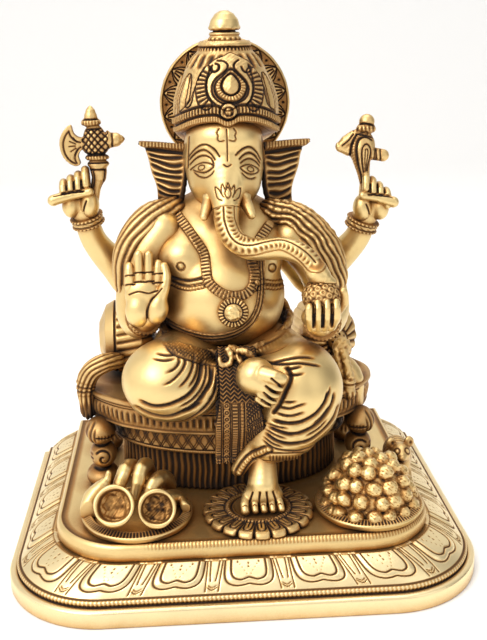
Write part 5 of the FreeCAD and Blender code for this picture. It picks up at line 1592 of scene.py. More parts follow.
def engrave_crest(form, u, v, front):
    """The drop gem, its ribbed collar, the scrolled frame, the ribbed columns and the medallion."""
    gem = signed_gap(u, v, CROWN_GEM)
    form.relief += 1.5 * np.sqrt(np.clip(-gap_share(gem, 4.6), 0, 1)) * front
    form.stain(bump(gem - 0.5, 0.9) * front)
    form.relief -= 1.0 * bump(gem - 0.5, 0.9) * front
    collar = signed_gap(u, v, CROWN_COLLAR)
    ring = (gem > 1.0) & (collar < -0.6)
    ticks = wave(np.arctan2(v - 287, u + 0.4), TURN / 26)
    form.relief += ring * front * (0.5 + 0.35 * ticks)
    form.stain(ring * front * 0.45 * (1 - ticks) ** 2)
    moat = bump(collar - 0.6, 1.1) * front
    form.relief -= 1.3 * moat
    form.stain(moat)
    for points in CROWN_FRAMES:
        form.groove(u, v, points, 0.9, 1.0, where=front)
    form.groove(u, v, [(-10.6, 300.8), (-12.6, 296), (-14, 290.5), (-13.6, 284), (-11.6, 279.6),
                       (-9.4, 277.4)], 0.9, 1.0,
                where=front)
    form.groove(u, v, [(9.8, 300.6), (11.3, 295.4), (12.3, 290), (12.1, 284), (10.4, 279.4), (8.4, 277)],
                0.9, 1.0,
                where=front)
    for points in ([(-12, 299.7), (-11, 297.4), (-8.6, 296.8), (-6.8, 298.6), (-7, 300.8), (-8.4, 301.7)],
                   [(5.8, 299.4), (6.8, 297.2), (9.2, 296.4), (11, 298), (11, 300.2), (9.8, 301.4)]):
        form.groove(u, v, points, 1.0, 1.2, where=front)
    for column in ([(-13.6, 298), (-16, 294.2), (-17.2, 289.6), (-17, 284.6), (-16, 279.8), (-14, 277.6)],
                   [(11.6, 297), (14, 292.4), (15, 288), (14.7, 283.4), (13.8, 279), (12, 276.6)]):
        away, along, _ = track(u, v, column, 5)
        body = ease((2.9 - np.abs(away)) / 0.8) * front
        ticks = wave(along, 2.5)
        form.relief += body * (0.9 * ticks - 0.4)
        form.stain(body * (1 - ticks) ** 1.6 + bump(np.abs(away) - 3, 0.8) * front)
        form.relief -= 0.6 * bump(np.abs(away) - 3, 0.8) * front
    for points in ([(-17.6, 297.5), (-20.2, 291.4), (-21.6, 285), (-22.8, 279.6), (-25.4, 277.8),
                    (-26.4, 280.2),
                    (-24.6, 281.6)],
                   [(15.6, 297), (17.8, 291), (18.9, 284.6), (20.3, 279), (22.8, 276.6)]):
        form.groove(u, v, points, 0.8, 0.9, where=front)
    spot = np.hypot(u + 1.9, v - 273)
    button = ease((4.6 - spot) / 0.6) * front
    dome = 1.6 - 0.7 * bump(spot - 2.3, 0.9) + 0.8 * bump(spot, 1.8)
    form.relief += button * dome - 0.6 * bump(spot - 4.9, 0.7) * front
    form.patina = np.where(button > 0.5, 0, form.patina)
    form.stain(bump(spot - 2.3, 0.8) * front * 0.8 + bump(spot - 4.9, 0.7) * front)


def gap_share(gap, reach):
    """A signed gap as a share of a reach, within -1 to 1."""
    return np.clip(gap / reach, -1, 1)


def make_halo():
    """The round glory behind the crown: sixteen pointed leaves in double outline, with dots between."""
    radii, heights = profile_steps([(0.5, -2), (40, -2), (41, -1.2), (41.2, 0.6), (40.4, 1.8), (39.4, 1.5),
                                    (0.5, 1.2)], 0.42)
    form, out, angle = polar(radii, heights, 640, (0, 0, 0))
    face = form.points[:, 2] > 1.0
    share = np.clip((out - 19) / 20.2, 0, 1)
    half = 6.3 * np.sin(math.pi * share ** 1.25) ** 0.75
    across = np.abs(repeat(angle - TURN / 32, TURN / 16) * out)
    for part, depth in ((1.0, 1.1), (0.62, 0.9), (0.2, 0.8)):
        line = bump(across - part * half,
                    0.85) * face * (out > 19) * (out < 39.4) * (half > (0 if part > 0.3 else 3))
        form.relief -= depth * line
        form.stain(line)
    outside = ease((across - half - 0.8) / 0.6) * face * (out > 27) * (out < 39.6)
    form.relief -= 0.5 * outside
    form.stain(0.3 * outside)
    between = np.hypot(repeat(angle, TURN / 16) * out, out - 37)
    form.relief -= 1.2 * bump(between, 1.2) * face
    form.stain(bump(between, 1.3) * face)
    form.stain(0.7 * bump(out - 39.5, 0.5) * face)
    form.relief += 0.12 * noise(form.points, 6, 8)
    form.settle()
    low, high = span("halo")
    upright = np.array(Matrix.Rotation(math.radians(98), 3, "X"))
    form.points = form.points @ upright.T + (-1, (low[1] + high[1]) / 2, 274)
    form.normals = form.facing()
    return finish_piece(form, "halo_disc", ["halo"], ANTIQUED, rounds=4)


def make_finial():
    """A beaded neck and a round cap over a dark undercut."""
    corners = [(0.5, 311), (9.4, 311), (9.9, 312.6), (9.3, 314.4), (8.7, 315.6), (9.2, 316.4), (8.6, 317.3),
               (6.8, 317.7),
               (6.6, 318.5), (8.4, 318.7), (9.0, 319.8), (8.9, 321.6), (8.0, 324.6), (5.6, 327.8),
               (2.6, 329.6), (0.4, 329.9)]
    radii, heights = profile_steps(corners, 0.35)
    form, _, angle = polar(radii, heights, 260, (-2, 18, 0))
    beads = wave(angle, TURN / 18)
    neck = bump(form.points[:, 2] - 313.6, 1.5)
    form.relief += 0.6 * neck * beads
    form.stain(0.7 * neck * (1 - beads) ** 2 + bump(form.points[:, 2] - 318.1, 0.8))
    scallops = wave(angle, TURN / 10)
    form.relief += 0.5 * bump(form.points[:, 2] - 320, 1.4) * scallops
    form.relief += 0.2 * noise(form.points, 9, 12)
    form.settle()
    return finish_piece(form, "crown_finial_casting", ["crown_finial"], POLISHED, rounds=5)


# ---- Arms ----

ARMS = {
    "rear_arm_left": ((-36, 34, 196, 13), (-50, 35, 178, 12.5), (-62, 31, 163, 11.8), (-74, 26, 176, 10.2),
                      (-86, 20, 194, 8), (-90.5, 15.5, 213.5, 7.3)),
    "rear_arm_right": ((28, 34, 192, 13), (42, 35, 176, 12.5), (54, 31, 162, 11.8), (66, 26, 174, 10.4),
                       (79.5, 19, 191, 8.2), (84, 16, 206, 7.5)),
    "front_arm_left": ((-42, 5, 202, 13), (-55, 3, 184, 14), (-61, -1, 160, 12.5), (-60, -7, 149, 11),
                       (-54, -18, 155, 8)),
    "front_arm_right": ((36, 5, 196, 13), (51, 3, 180, 13.5), (59, -5, 157, 12), (56, -20, 149, 10),
                        (48, -38, 153, 8)),
}


def make_arm(node):
    """A smooth arm, bent at the elbow."""
    stations = np.array(ARMS[node], float)
    reach = stations[:, 3].max() + 4
    clay = Clay(stations[:, :3].min(0) - reach, stations[:, :3].max(0) + reach, 0.8)
    clay.limb(ARMS[node], 2)
    form = clay.form()
    form.relief += 0.2 * noise(form.points, 24, 41)
    form.settle()
    return finish_piece(form, node + "_casting", [node], POLISHED, rounds=4)


def bracelet(arm, grip, wide):
    """A wrist ring with two beaded rims and a row of small lozenges, set square to the forearm."""
    start, end = (np.array(station[:3], float) for station in ARMS[arm][-2:])
    heading = (end - start) / np.linalg.norm(end - start)
    radii, heights = profile_steps([(0.5, 0), (grip, 0), (grip + wide, 0.4), (grip + wide + 0.3, 1.4),
                                    (grip + wide - 0.5, 2),
                                    (grip + wide - 0.2, 5), (grip + wide + 0.4, 5.6), (grip + wide, 6.6),
                                    (grip, 7),
                                    (0.5, 7)], 0.3)
    form, out, angle = polar(radii, heights, 280, (0, 0, 0))
    up = form.points[:, 2]
    outer = out > grip + 0.3
    ticks = wave(angle * grip, 1.9)
    rims = np.maximum(bump(up - 1, 0.9), bump(up - 6, 0.9)) * outer
    form.relief += 0.5 * rims * ticks
    form.stain(0.7 * rims * (1 - ticks) ** 2)
    lozenge = wave(angle * grip + up * 0.6, 3.4) * bump(up - 3.5, 1.5) * outer
    form.relief += 0.6 * lozenge
    form.stain(np.maximum(bump(up - 2.2, 0.5), bump(up - 4.9, 0.5)) * outer * 0.9)
    form.settle()
    turn = np.array(Vector((0, 0, 1)).rotation_difference(Vector(heading)).to_matrix())
    form.points = form.points @ turn.T + end - heading * 9.2
    form.normals = form.facing()
    return form


def make_cuffs(node, pair):
    """Both wrist rings of one pair of arms."""
    form = joined([bracelet(arm, grip, 2.4) for arm, grip in pair])
    return finish_piece(form, node + "_casting", [node], ANTIQUED, rounds=3)


# ---- Hands ----

def creases(form, depth, curves, half=0.8, cut=0.9, taper=1.5):
    """Fine creases drawn from the front at one depth."""
    u, v = front_view(form, depth)
    front = faces_front(form)
    for points in curves:
        form.groove(u, v, points, half, cut, where=front, taper=taper)


def make_blessing_hand():
    """The open palm: four straight fingers held close, a thumb beside them and two pads at the heel."""
    low, high = span("front_hand_left")
    clay = Clay(low - (6, 8, 6), high + (8, 8, 6), 0.45)
    clay.oval((-55, -20, 169), (11.5, 6.2, 11), 1)
    clay.oval((-58.5, -22, 159.5), (8.2, 6.6, 10), 2)
    clay.oval((-47.5, -24, 160.5), (6.6, 5.6, 9), 0.8, turn=(0, 12, 0))
    clay.limb(((-46, -24, 166, 4.2), (-42.5, -24, 175, 3.2), (-41.5, -22, 181, 3.0),
               (-42.5, -20, 186, 2.5)), 1.5)
    for root, tip, top in ((-63.2, -63, 189), (-57.8, -57.3, 196), (-52.2, -51.5, 195.5), (-46.8, -46, 190)):
        clay.limb(((root, -20, 174, 3.2), ((root + tip) / 2, -21, 182, 3.0), (tip, -19.5, top - 2.4, 2.5)),
                  0.35)
    form = clay.form()
    lines = [[(-53.2, 152.5), (-53.4, 160), (-51.2, 166.5), (-47.6, 170.6), (-44.2, 174)],
             [(-64, 171), (-58, 172.6), (-52, 171.4), (-47, 173)]]
    for root, base in ((-63.2, 177), (-57.6, 178.5), (-52, 178.5), (-46.6, 177.5)):
        lines += [[(root - 2.8, base), (root + 2.8, base + 0.3)],
                  [(root - 2.6, base + 5.6), (root + 2.6, base + 5.9)]]
    creases(form, -26, lines, 0.8, 0.8, 0)
    form.settle()
    return finish_piece(form, "front_hand_left_blessing", ["front_hand_left"], POLISHED, cavity=1.2, rounds=7)


def make_offering_hand():
    """The cupped hand under the sweet, with its fingers standing up in front."""
    low, high = span("front_hand_right")
    clay = Clay(low - (6, 10, 6), high + (8, 8, 8), 0.45)
    clay.oval((47.5, -45, 159), (11.5, 10.5, 8), 2)
    for x, top in ((38.8, 169), (43.8, 171), (49, 171.5), (54.2, 171)):
        clay.limb(((x * 0.7 + 14.3, -52, 155.5, 3.2), (x, -57, 162.5, 2.6), (x, -58, 168, 2.3),
                   (x, -56, top, 2.1)), 0.4)
    clay.limb(((56, -40, 160, 4), (60.2, -46, 168, 3.2), (59.4, -49, 175, 2.6)), 1)
    form = clay.form()
    u, v = front_view(form, -60)
    front = faces_front(form)
    for x in (41.3, 46.4, 51.6):
        form.groove(u, v, [(x, 170.5), (x, 163), (x + 0.2, 157.5)], 1.1, 2.0, where=front)
    form.settle()
    return finish_piece(form, "front_hand_right_offering", ["front_hand_right"], POLISHED, cavity=1.2,
                        rounds=7)


def make_fist(node, mirror, shift, grip, fan):
    """A closed fist with the finger ends curled over the grip, and the grip's end sticking out."""
    low, high = span(node)
    reach = np.array((10, 10, 8))
    clay = Clay(np.minimum(low, (shift[0] - 20, 0, 200)) - reach,
                np.maximum(high, (shift[0] + 20, 20, 240)) + reach, 0.45)

    def at(x, y, z):
        return (shift[0] + mirror * x, shift[1] + y, shift[2] + z)

    clay.oval(at(0.5, 2, -1), (9.5, 7.5, 9.5), 1)
    clay.oval(at(5.6, -2.5, -0.5), (6.0, 6.2, 8.6), 0.9)
    clay.oval(at(-5.6, -1.5, -1.2), (5.6, 6.0, 7.4), 1.2)
    for x, rise in ((-9.4, 13), (-4.9, 15.4), (-0.3, 17.6), (4.2, 20.4)):
        top = rise - fan * (4.2 - x) / 13
        clay.limb(((*at(x, 4, 7.5), 2.6), (*at(x, 0, top), 2.5), (*at(x, -5, top - 2), 2.4),
                   (*at(x + 0.4, -7, top - 8), 2.3)),
                  0.4)
    clay.limb(((*at(6.5, -7, 8), 2.6), (*at(-2, -6.5, 6.4), 2.7), (*at(5 - grip, -7, 4.8), 3.2),
               (*at(-grip, -7.5, 3.4), 3.4)), 0.5)
    form = clay.form()

    def front_line(points, half, cut):
        creases(form, 6, [[(shift[0] + mirror * x, shift[2] + z) for x, z in points]], half, cut)

    front_line([(1.5, -9), (2, -3), (4.6, 3.5)], 0.9, 1.2)
    front_line([(-11, 7.2), (-4, 8.2), (4, 8.6)], 1.3, 1.5)
    front_line([(-grip, 5.6), (-10, 6.6), (-3, 7.6)], 0.6, 0.6)
    for x in (-7.1, -2.6, 2.0):
        front_line([(x, 16), (x, 9)], 0.8, 1.0)
    form.settle()
    return finish_piece(form, node + "_fist", [node], POLISHED, cavity=1.2, rounds=7)


# ---- What the rear hands hold ----

def plate(clay, outline, y, thick, blend=1.0):
    """Add an upright plate of a given outline to a piece of clay."""
    curve = np.array(outline)
    cells, (x, depth, z) = clay.patch((*(curve.min(0) - 3)[:1], y - thick, (curve.min(0) - 3)[1]),
                                      (*(curve.max(0) + 3)[:1], y + thick, (curve.max(0) + 3)[1]))
    across, up = np.meshgrid(x.ravel(), z.ravel(), indexing="ij")
    gap = signed_gap(across.ravel(), up.ravel(), outline).reshape(across.shape)[:, None, :]
    clay.merge(cells, np.maximum(gap, np.abs(depth - y) - thick / 2).astype(np.float32), blend)


AXE_BLADE = [(-95.2, 266.4), (-99.8, 262.8), (-102.4, 256.6), (-101.6, 249.6), (-98.2, 244.4), (-93.8, 242),
             (-90.6, 243.4),
             (-91.6, 247.8), (-89.4, 251.6), (-84, 253.6), (-84, 259), (-90.4, 259), (-93.6, 261.6)]


def make_axe():
    """The battle-axe: a latticed socket with a fan blade, a ringed spike behind and a pointed cap above."""
    low, high = span("axe")
    clay = Clay(low - (8, 8, 6), high + (10, 8, 6), 0.5)
    clay.limb(((-83, 13, 269, 4.4), (-83, 13, 273.5, 3), (-83, 13, 276.6, 0.9)), 0.4)
    clay.oval((-83, 13, 267.6), (5.9, 5.2, 2.9), 0.4)
    clay.oval((-81.5, 13, 258), (6.8, 5.2, 8.5), 1)
    clay.oval((-81.2, 13, 252.5), (7.8, 5.6, 5.2), 2)
    clay.oval((-80.6, 13, 246.8), (7.2, 5.4, 2.4), 0.5)
    clay.oval((-80.2, 13, 242.8), (6.6, 5, 2.9), 0.4)
    clay.limb(((-80.4, 13, 240, 5.2), (-80.2, 13, 235, 4.4), (-82.5, 13, 229, 3.2), (-85, 13, 212, 2.4)), 1)
    clay.oval((-73.6, 13, 257), (2.2, 5.0, 5.6), 0.5)
    clay.limb(((-75, 13, 256.6, 4.6), (-69, 13, 257, 4.2), (-64.4, 13, 257.4, 1)), 0.5)
    plate(clay, AXE_BLADE, 13, 4.2)
    form = clay.form()
    u, v = front_view(form, 9)
    front = faces_front(form)
    block = ((u > -89) & (u < -73) & (v > 248.6) & (v < 264.6) & (np.abs(form.points[:, 0] + 81) < 9)) * front
    for slant in (1, -1):
        cut = bump(repeat(u + slant * v * 0.9 + 1.0, 4.0), 1.15) * block
        form.relief -= 0.8 * cut
        form.stain(cut)
    for z, x_low, x_high in ((270.2, -88.5, -78), (264.8, -89, -76.8), (249.4, -88.4, -73.4),
                             (244.6, -88, -73.4),
                             (240.2, -87, -73.8)):
        form.groove(u, v, [(x_low, z), ((x_low + x_high) / 2, z - 0.7), (x_high, z + 0.2)], 0.9, 1.0,
                    where=front)
    for centre, half in ((267.5, 2.4), (247, 2)):
        ticks = wave(u, 1.8) * bump(v - centre, half) * front
        form.relief += 0.4 * ticks
        form.stain(0.6 * (1 - wave(u, 1.8)) ** 2 * bump(v - centre, half) * front * (u > -89) * (u < -73))
    form.groove(u, v, [(-76, 240), (-77, 234), (-79.4, 229)], 0.7, 0.8, where=front)
    form.groove(u, v, [(-83.4, 239.6), (-83, 234), (-84, 230)], 0.7, 0.8, where=front)
    form.groove(u, v, [(-71.2, 262), (-70.6, 257), (-71.4, 252)], 0.8, 0.8, where=front)
    gap = signed_gap(u, v, AXE_BLADE)
    rim = bump(gap + 2.2, 0.8) * front * (u < -89.6)
    form.relief -= 0.6 * rim
    form.stain(rim)
    for tip in ((-95.6, 261.5), (-98.6, 258.4), (-99.4, 254.2), (-98.2, 250), (-95, 246.8)):
        start = (-90.4, 254.8)
        near = tuple(start[axis] + 0.3 * (tip[axis] - start[axis]) for axis in (0, 1))
        far = tuple(start[axis] + 0.72 * (tip[axis] - start[axis]) for axis in (0, 1))
        form.groove(u, v, [near, far], 0.6, 0.5, where=front)
    form.settle()
    return finish_piece(form, "axe_casting", ["axe"], ANTIQUED, cavity=1.1, rounds=5)


def make_goad():
    """The elephant goad: a leaf-shaped socket with a curled hook, a ringed peg and a ticked cap."""
    low, high = span("goad")
    clay = Clay(low - (8, 8, 6), high + (10, 8, 6), 0.5)
    clay.oval((83.2, 13, 264), (4.7, 4.6, 4.6), 0.4)
    clay.oval((82.8, 13, 260), (5.9, 5.4, 3.6), 0.5)
    clay.oval((80.6, 13, 249.5), (8, 5.4, 9.2), 1)
    clay.limb(((79.6, 13, 247, 7), (81, 13, 238, 4.8), (82.5, 13, 229, 3.4), (84.6, 13, 212, 2.4)), 2)
    clay.limb(((76, 13, 255, 4.2), (70.5, 13, 252.5, 3.4), (66.4, 13, 249, 2.2), (65.8, 13, 250.6, 1.4)), 1.5)
    clay.limb(((72, 13, 247, 3.4), (67.6, 13, 248, 2.2)), 1.5)
    clay.limb(((86, 13, 244.8, 3.9), (93.6, 13, 243.4, 3.8)), 0.5)
    form = clay.form()
    u, v = front_view(form, 9)
    front = faces_front(form)

    def line(points, half=0.8, cut=0.9):
        form.groove(u, v, points, half, cut, where=front)

    line([(82.3, 229.6), (80.1, 238.7), (79.6, 247), (82.4, 250.8), (85.3, 247), (84.2, 238.6), (83, 230.2)])
    line([(82.6, 232), (81.8, 239), (81.6, 246.4), (82.5, 247.6), (83.4, 246.4), (83, 239), (82.8, 232)],
         0.5, 0.6)
    line([(81, 228), (77.6, 238.7), (76.2, 247.7), (78, 253.6), (82, 255.4), (86, 253.4)], 0.9, 1.1)
    line([(86.2, 230), (87, 238.4), (88.2, 248)], 0.7, 0.7)
    line([(72.6, 244.5), (73.4, 250), (76.4, 256.6)], 0.9, 1.1)
    line([(68, 250.6), (71.6, 253.4), (74.4, 257.4)], 0.8, 0.9)
    form.cord(u, v, [(79.4, 229), (75.8, 238.8), (74.2, 247.8), (76.4, 255), (81.8, 257)], 1.3, 0.5, 1.7,
              where=front)
    for z in (263.4, 256.6):
        line([(76.4, z + 0.6), (82.4, z - 0.5), (88.8, z - 1.6)], 0.9, 1.1)
    ticks = wave(u, 2.3) * bump(v - 260.2, 2.6) * front
    form.relief += 0.6 * ticks
    form.stain(0.9 * (1 - wave(u, 2.3)) ** 2 * bump(v - 260.2, 2.6) * front)
    for x in (88.8, 91.4):
        line([(x, 248.5), (x, 240)], 0.7, 0.9)
    form.settle()
    return finish_piece(form, "goad_casting", ["goad"], ANTIQUED, cavity=1.1, rounds=5)


# ---- Cloth over the shoulders and the seat's ends ----

SHAWLS = {
    "shawl_left": (((-36, 12, 214, 7.5), (-50, 6, 208, 10.5), (-62, 2, 192, 10.5), (-66.5, -2, 174, 7.5),
                    (-66, -3, 165, 5)),
                   4.6, 0.0),
    "shawl_right": (((24, 10, 211, 8), (40, 4, 205, 11), (54, -2, 190, 11.5), (60.5, -8, 172, 8.5),
                     (60, -9, 164, 6)),
                    3.9, 1.0),
    "drape_left": (((-76, 11, 117, 5), (-84, 8, 116.6, 6), (-92, 7, 112, 6.2), (-96, 7, 104, 6),
                    (-96.4, 7, 93, 5),
                    (-95.8, 7, 84, 4.4)), 3.3, 0.0),
    "drape_right": (((60, 11, 104, 8), (69, 8, 107, 9), (75, 6, 100, 8.5), (76, 6, 88, 7.5),
                     (76, 6, 78, 6.5)), 5.2, 0.0),
}


def make_shawl(node, sharp=1.0):
    """A band of cloth in lengthwise folds over its route."""
    stations, pitch, ruffle = SHAWLS[node]
    place = np.array(stations, float)
    reach = place[:, 3].max() + 5
    clay = Clay(place[:, :3].min(0) - reach, place[:, :3].max(0) + reach, 0.6)
    clay.limb(stations, 2)
    form = clay.form()
    along, side, fore = along_route(form.points, stations)
    round_it = np.arctan2(side, fore + 1e-6) * np.hypot(side, fore)
    drift = 1.2 * np.sin(along / 9) + 0.5 * noise(form.points, 16, 17) * (1 + ruffle)
    ridges = np.sqrt(wave(round_it + drift, pitch))
    form.relief += sharp * (1.3 * ridges - 0.8)
    form.stain(0.95 * (1 - ridges) ** 2.4)
    return form, along, side, fore


def make_shawls():
    """Both ends of the shawl: plain folds on the left, deeper gathered folds on the right."""
    form, along, side, _ = make_shawl("shawl_left")
    crown_of_it = bump(side - 1, 8) * ease((26 - along) / 8)
    form.relief += crown_of_it * 0.8
    form.settle()
    finish_piece(form, "shawl_left_folds", ["shawl_left"], ANTIQUED, cavity=1.1, rounds=6)
    form = make_shawl("shawl_right", 1.2)[0]
    form.relief += 0.3 * noise(form.points, 5, 19)
    form.settle()
    finish_piece(form, "shawl_right_folds", ["shawl_right"], ANTIQUED, cavity=1.2, rounds=7)


def make_drapes():
    """The cloth ends over the seat: striped and cross-folded on the left, plain on the right."""
    form, along = make_shawl("drape_left", 0.8)[:2]
    bend = bump(along - 30, 7)
    ripples = wave(along, 3.0)
    form.relief += 0.7 * bend * (ripples - 0.5)
    form.stain(bend * (1 - ripples) ** 2 * 0.8)
    form.relief += 0.4 * noise(form.points, 5, 23) * ease((along - 36) / 5)
    form.stain(0.55 * ease((along - 38) / 6))
    form.settle()
    finish_piece(form, "drape_left_folds", ["drape_left"], ANTIQUED, cavity=1.1, rounds=6)
    form = make_shawl("drape_right", 0.0)[0]
    form.patina[:] = 0
    u, v = front_view(form, 0)
    form.groove(u, v, [(64, 92.6), (70, 93), (76, 95), (84, 101)], 1.0, 1.1)
    streak = ease((94 - form.points[:, 2]) / 8)
    form.relief += 0.5 * streak * noise(form.points * (1, 1, 0.35), 5, 29)
    form.settle()
    finish_piece(form, "drape_right_folds", ["drape_right"], POLISHED, cavity=1.1, rounds=6)


# ---- Bolsters and tassel ----

def make_bolster_left():
    """The round cushion: a plain puckered cap, a seam, and folds that run along it and sag."""
    low, high = span("bolster_left")
    middle_place = (low + high) / 2
    radius = (high[1] - low[1]) / 2
    half = (high[0] - low[0]) / 2
    corners = [(0.6, -half), (radius * 0.45, -half - 0.5), (radius * 0.86, -half + 4), (radius, -half + 10),
               (radius, half - 9), (radius * 0.8, half - 2.5), (0.6, half)]
    radii, heights = profile_steps(corners, 0.55)
    form, out, angle = polar(radii, heights, 300, (0, 0, 0))
    along = form.points[:, 2]
    seam = bump(along + half - 10.5, 1.1)
    form.relief -= 1.2 * seam
    form.stain(seam)
    body = ease((along + half - 11) / 1.5) * (out > radius * 0.5)
    sag = 0.11 * np.maximum(along + half - 11, 0) ** 1.15
    folds_round = (angle * radius + sag) / 5.4
    ridges = np.sqrt(wave(folds_round, 1))
    form.relief += body * (1.2 * ridges - 0.6)
    form.stain(0.9 * body * (1 - ridges) ** 2.4)
    cap = ease((-along - half + 10) / 2)
    puckers = wave(angle, TURN / 9)
    form.relief -= cap * 0.5 * (1 - puckers) * bump(out - radius * 0.7, radius * 0.35)
    form.settle()
    turn = np.array((Matrix.Rotation(math.radians(90), 3, "Y")))
    form.points = form.points @ turn.T + middle_place
    form.normals = form.facing()
    return finish_piece(form, "bolster_left_cushion", ["bolster_left"], ANTIQUED, cavity=1.0, rounds=6)


def make_bolster_right():
    """The other cushion seen end on: ribs gathered round a drilled knob."""
    low, high = span("bolster_right")
    middle_place = (low + high) / 2
    radius = (high[2] - low[2]) / 2
    corners = [(0.6, -25), (radius * 0.7, -24), (radius * 0.95, -18), (radius, -8), (radius * 0.97, 8),
               (radius * 0.82, 17),
               (radius * 0.5, 21.5), (8.6, 22.5), (7.8, 23.4), (7.2, 26), (5, 28.4), (2.4, 29.4), (0.4, 29.6)]
    radii, heights = profile_steps(corners, 0.5)
    form, out, angle = polar(radii, heights, 300, (0, 0, 0))
    up = form.points[:, 2]
    field = ease((up - 4) / 6) * ease((out - 8.8) / 1.2)
    ridges = np.sqrt(wave(angle, TURN / 17))
    form.relief += field * (1.5 * ridges - 0.7)
    form.stain(field * 0.95 * (1 - ridges) ** 2.4 + 0.9 * bump(np.hypot(out - 8.6, up - 22.6), 1.3))
    stripes = np.sqrt(wave(angle, TURN / 22)) * (1 - ease((up - 4) / 6)) * (out > radius * 0.8)
    form.relief += 0.7 * stripes
    knob = (up > 23) & (out < 8)
    holes = bump(np.hypot(repeat(angle, TURN / 8) * out, out - 6), 1.2) * knob
    form.relief -= 1.0 * holes
    form.stain(holes)
    form.settle()
    turn = np.array(Matrix.Rotation(math.radians(12), 3, "Z") @ Matrix.Rotation(math.radians(88), 3, "X"))
    form.points = form.points * (0.78, 0.91, 1) @ turn.T + middle_place + (-0.5, 3, -3)
    form.normals = form.facing()
    return finish_piece(form, "bolster_right_cushion", ["bolster_right"], ANTIQUED, cavity=1.0, rounds=6)


def make_tassel():
    """The tassel that hangs from the cushion's knob, with a ringed bell and a fringed end."""
    low, high = span("bolster_tassel")
    clay = Clay(low - (6, 8, 8), high + (8, 8, 8), 0.5)
    clay.oval((68.8, 5, 122.5), (6, 5.5, 7), 1)
    clay.limb(((69, 0, 121, 3), (70.5, -5, 114, 2.8), (71.6, -8, 107, 3.2)), 1)
    clay.limb(((65.4, 2, 121, 2.6), (66.4, -2, 113, 2.4), (68.6, -6, 107, 2.2)), 0.5)
    clay.oval((71, -9, 104.4), (4.8, 4.6, 1.8), 0.4)
    clay.oval((71, -9, 101.8), (4.4, 4.3, 1.6), 0.4)
    clay.limb(((71, -9, 100, 4.0), (71, -9.5, 97, 4.5), (71, -9.5, 95.6, 3.6)), 0.5)
    form = clay.form()
    strands = wave(np.arctan2(form.points[:, 0] - 71, -form.points[:, 1] - 8), TURN / 9)
    fringe = ease((99.5 - form.points[:, 2]) / 2)
    form.relief += 0.6 * fringe * (strands - 0.5)
    form.stain(fringe * 0.6 * (1 - strands) ** 2)
    form.relief += 0.35 * noise(form.points, 4, 37) * ease((form.points[:, 2] - 104) / 3)
    form.settle()
    return finish_piece(form, "bolster_tassel_casting", ["bolster_tassel"], ANTIQUED, cavity=1.2, rounds=7)


# ---- Panel, sweet and mouse ----

def make_sash():
    """The hanging panel: a braid at the top, then ribs, a chain and beads beside a field of lace."""
    low = span("sash_panel")[0]
    profile = [(-34, 139), (-41, 136.5), (-50, 131), (-57, 124), (-60.5, 116), (-61.5, 106), (-60, 97),
               (-55, 89), (-50, 82),
               (-48, 76), (-47, low[2])]
    curve = smooth_curve(profile, step=0.36)[::-1]
    share = np.linspace(0, 1, 104)
    rows = []
    for y, z in curve:
        spread = ease((120 - z) / 26)
        left, right = -12.6 - 3.2 * spread, 9 + 3.6 * spread
        rows.append(np.column_stack([left + (right - left) * share, np.full(len(share), y),
                                     np.full(len(share), z)]))
    form = sheet_of(np.array(rows))
    steps = np.concatenate([[0], np.cumsum(np.linalg.norm(np.diff(curve, axis=0), axis=1))])
    up = np.repeat(steps, len(share))
    across, height = form.points[:, 0].copy(), form.points[:, 2].copy()
    braid = ease((height - 113) / 2)
    plait = wave(up + 1.0 * np.abs(repeat(across, 4.4)), 2.5)
    form.relief += braid * (0.9 * plait - 0.3)
    form.stain(braid * (0.25 + 0.7 * (1 - plait)))
    below = 1 - braid

    def column(middle_x, half):
        return ease((half - np.abs(across - middle_x)) / 0.4) * below

    for line_x in (-12.3, -11.2, -7.2, -6.2, -2.4, -1.6, 1.2):
        cut = bump(across - line_x, 0.55) * below
        form.relief -= 0.6 * cut
        form.stain(cut)
    for middle_x, half, pitch in ((-14, 1.5, 1.9), (-4.3, 1.7, 2.1)):
        ribs = wave(up, pitch)
        form.relief += column(middle_x, half) * (0.8 * ribs - 0.3)
        form.stain(column(middle_x, half) * 0.8 * (1 - ribs))
    ring = np.hypot(across + 9.2, repeat(up, 4.2))
    form.relief += (0.7 * bump(ring, 0.9) + 0.6 * bump(ring - 1.6, 0.7)) * below
    form.stain((bump(ring - 0.9, 0.5) + ease((ring - 2.0) / 0.4)) * column(-9.2, 1.9))
    bead = np.hypot(across + 0.2, repeat(up, 2.2))
    form.relief += 0.7 * bump(bead, 1.1) * below
    form.stain(0.9 * ease((bead - 0.8) / 0.4) * column(-0.2, 1.3))
    field = ease((across - 1.8) / 0.5) * below
    swirl = 1.6 * noise(form.points, 5, 61)
    threads = wave(across + up + swirl, 2.4) * wave(across - up - swirl, 2.9)
    form.relief += field * (1.0 * threads - 0.4)
    form.stain(field * (0.9 - 0.9 * threads))
    hem = ease((3.4 - up) / 0.8)
    ticks = wave(across, 1.9)
    form.relief += hem * (0.4 + 0.4 * ticks)
    form.stain(hem * 0.6 * (1 - ticks) ** 2 + bump(up - 3.8, 0.7))
    form.patina = np.maximum(form.patina, 0.2)
    form.settle()
    closed = form.close_back(3.4)
    return finish_piece(closed, "sash_panel_cloth", ["sash_panel"], ANTIQUED, cavity=1.0, rounds=4)


def scattered(count):
    """Points spread evenly over a ball of radius 1."""
    place = np.arange(count) + 0.5
    height = 1 - 2 * place / count
    spin = place * math.pi * (3 - math.sqrt(5))
    out = np.sqrt(1 - height ** 2)
    return np.column_stack([out * np.cos(spin), out * np.sin(spin), height])


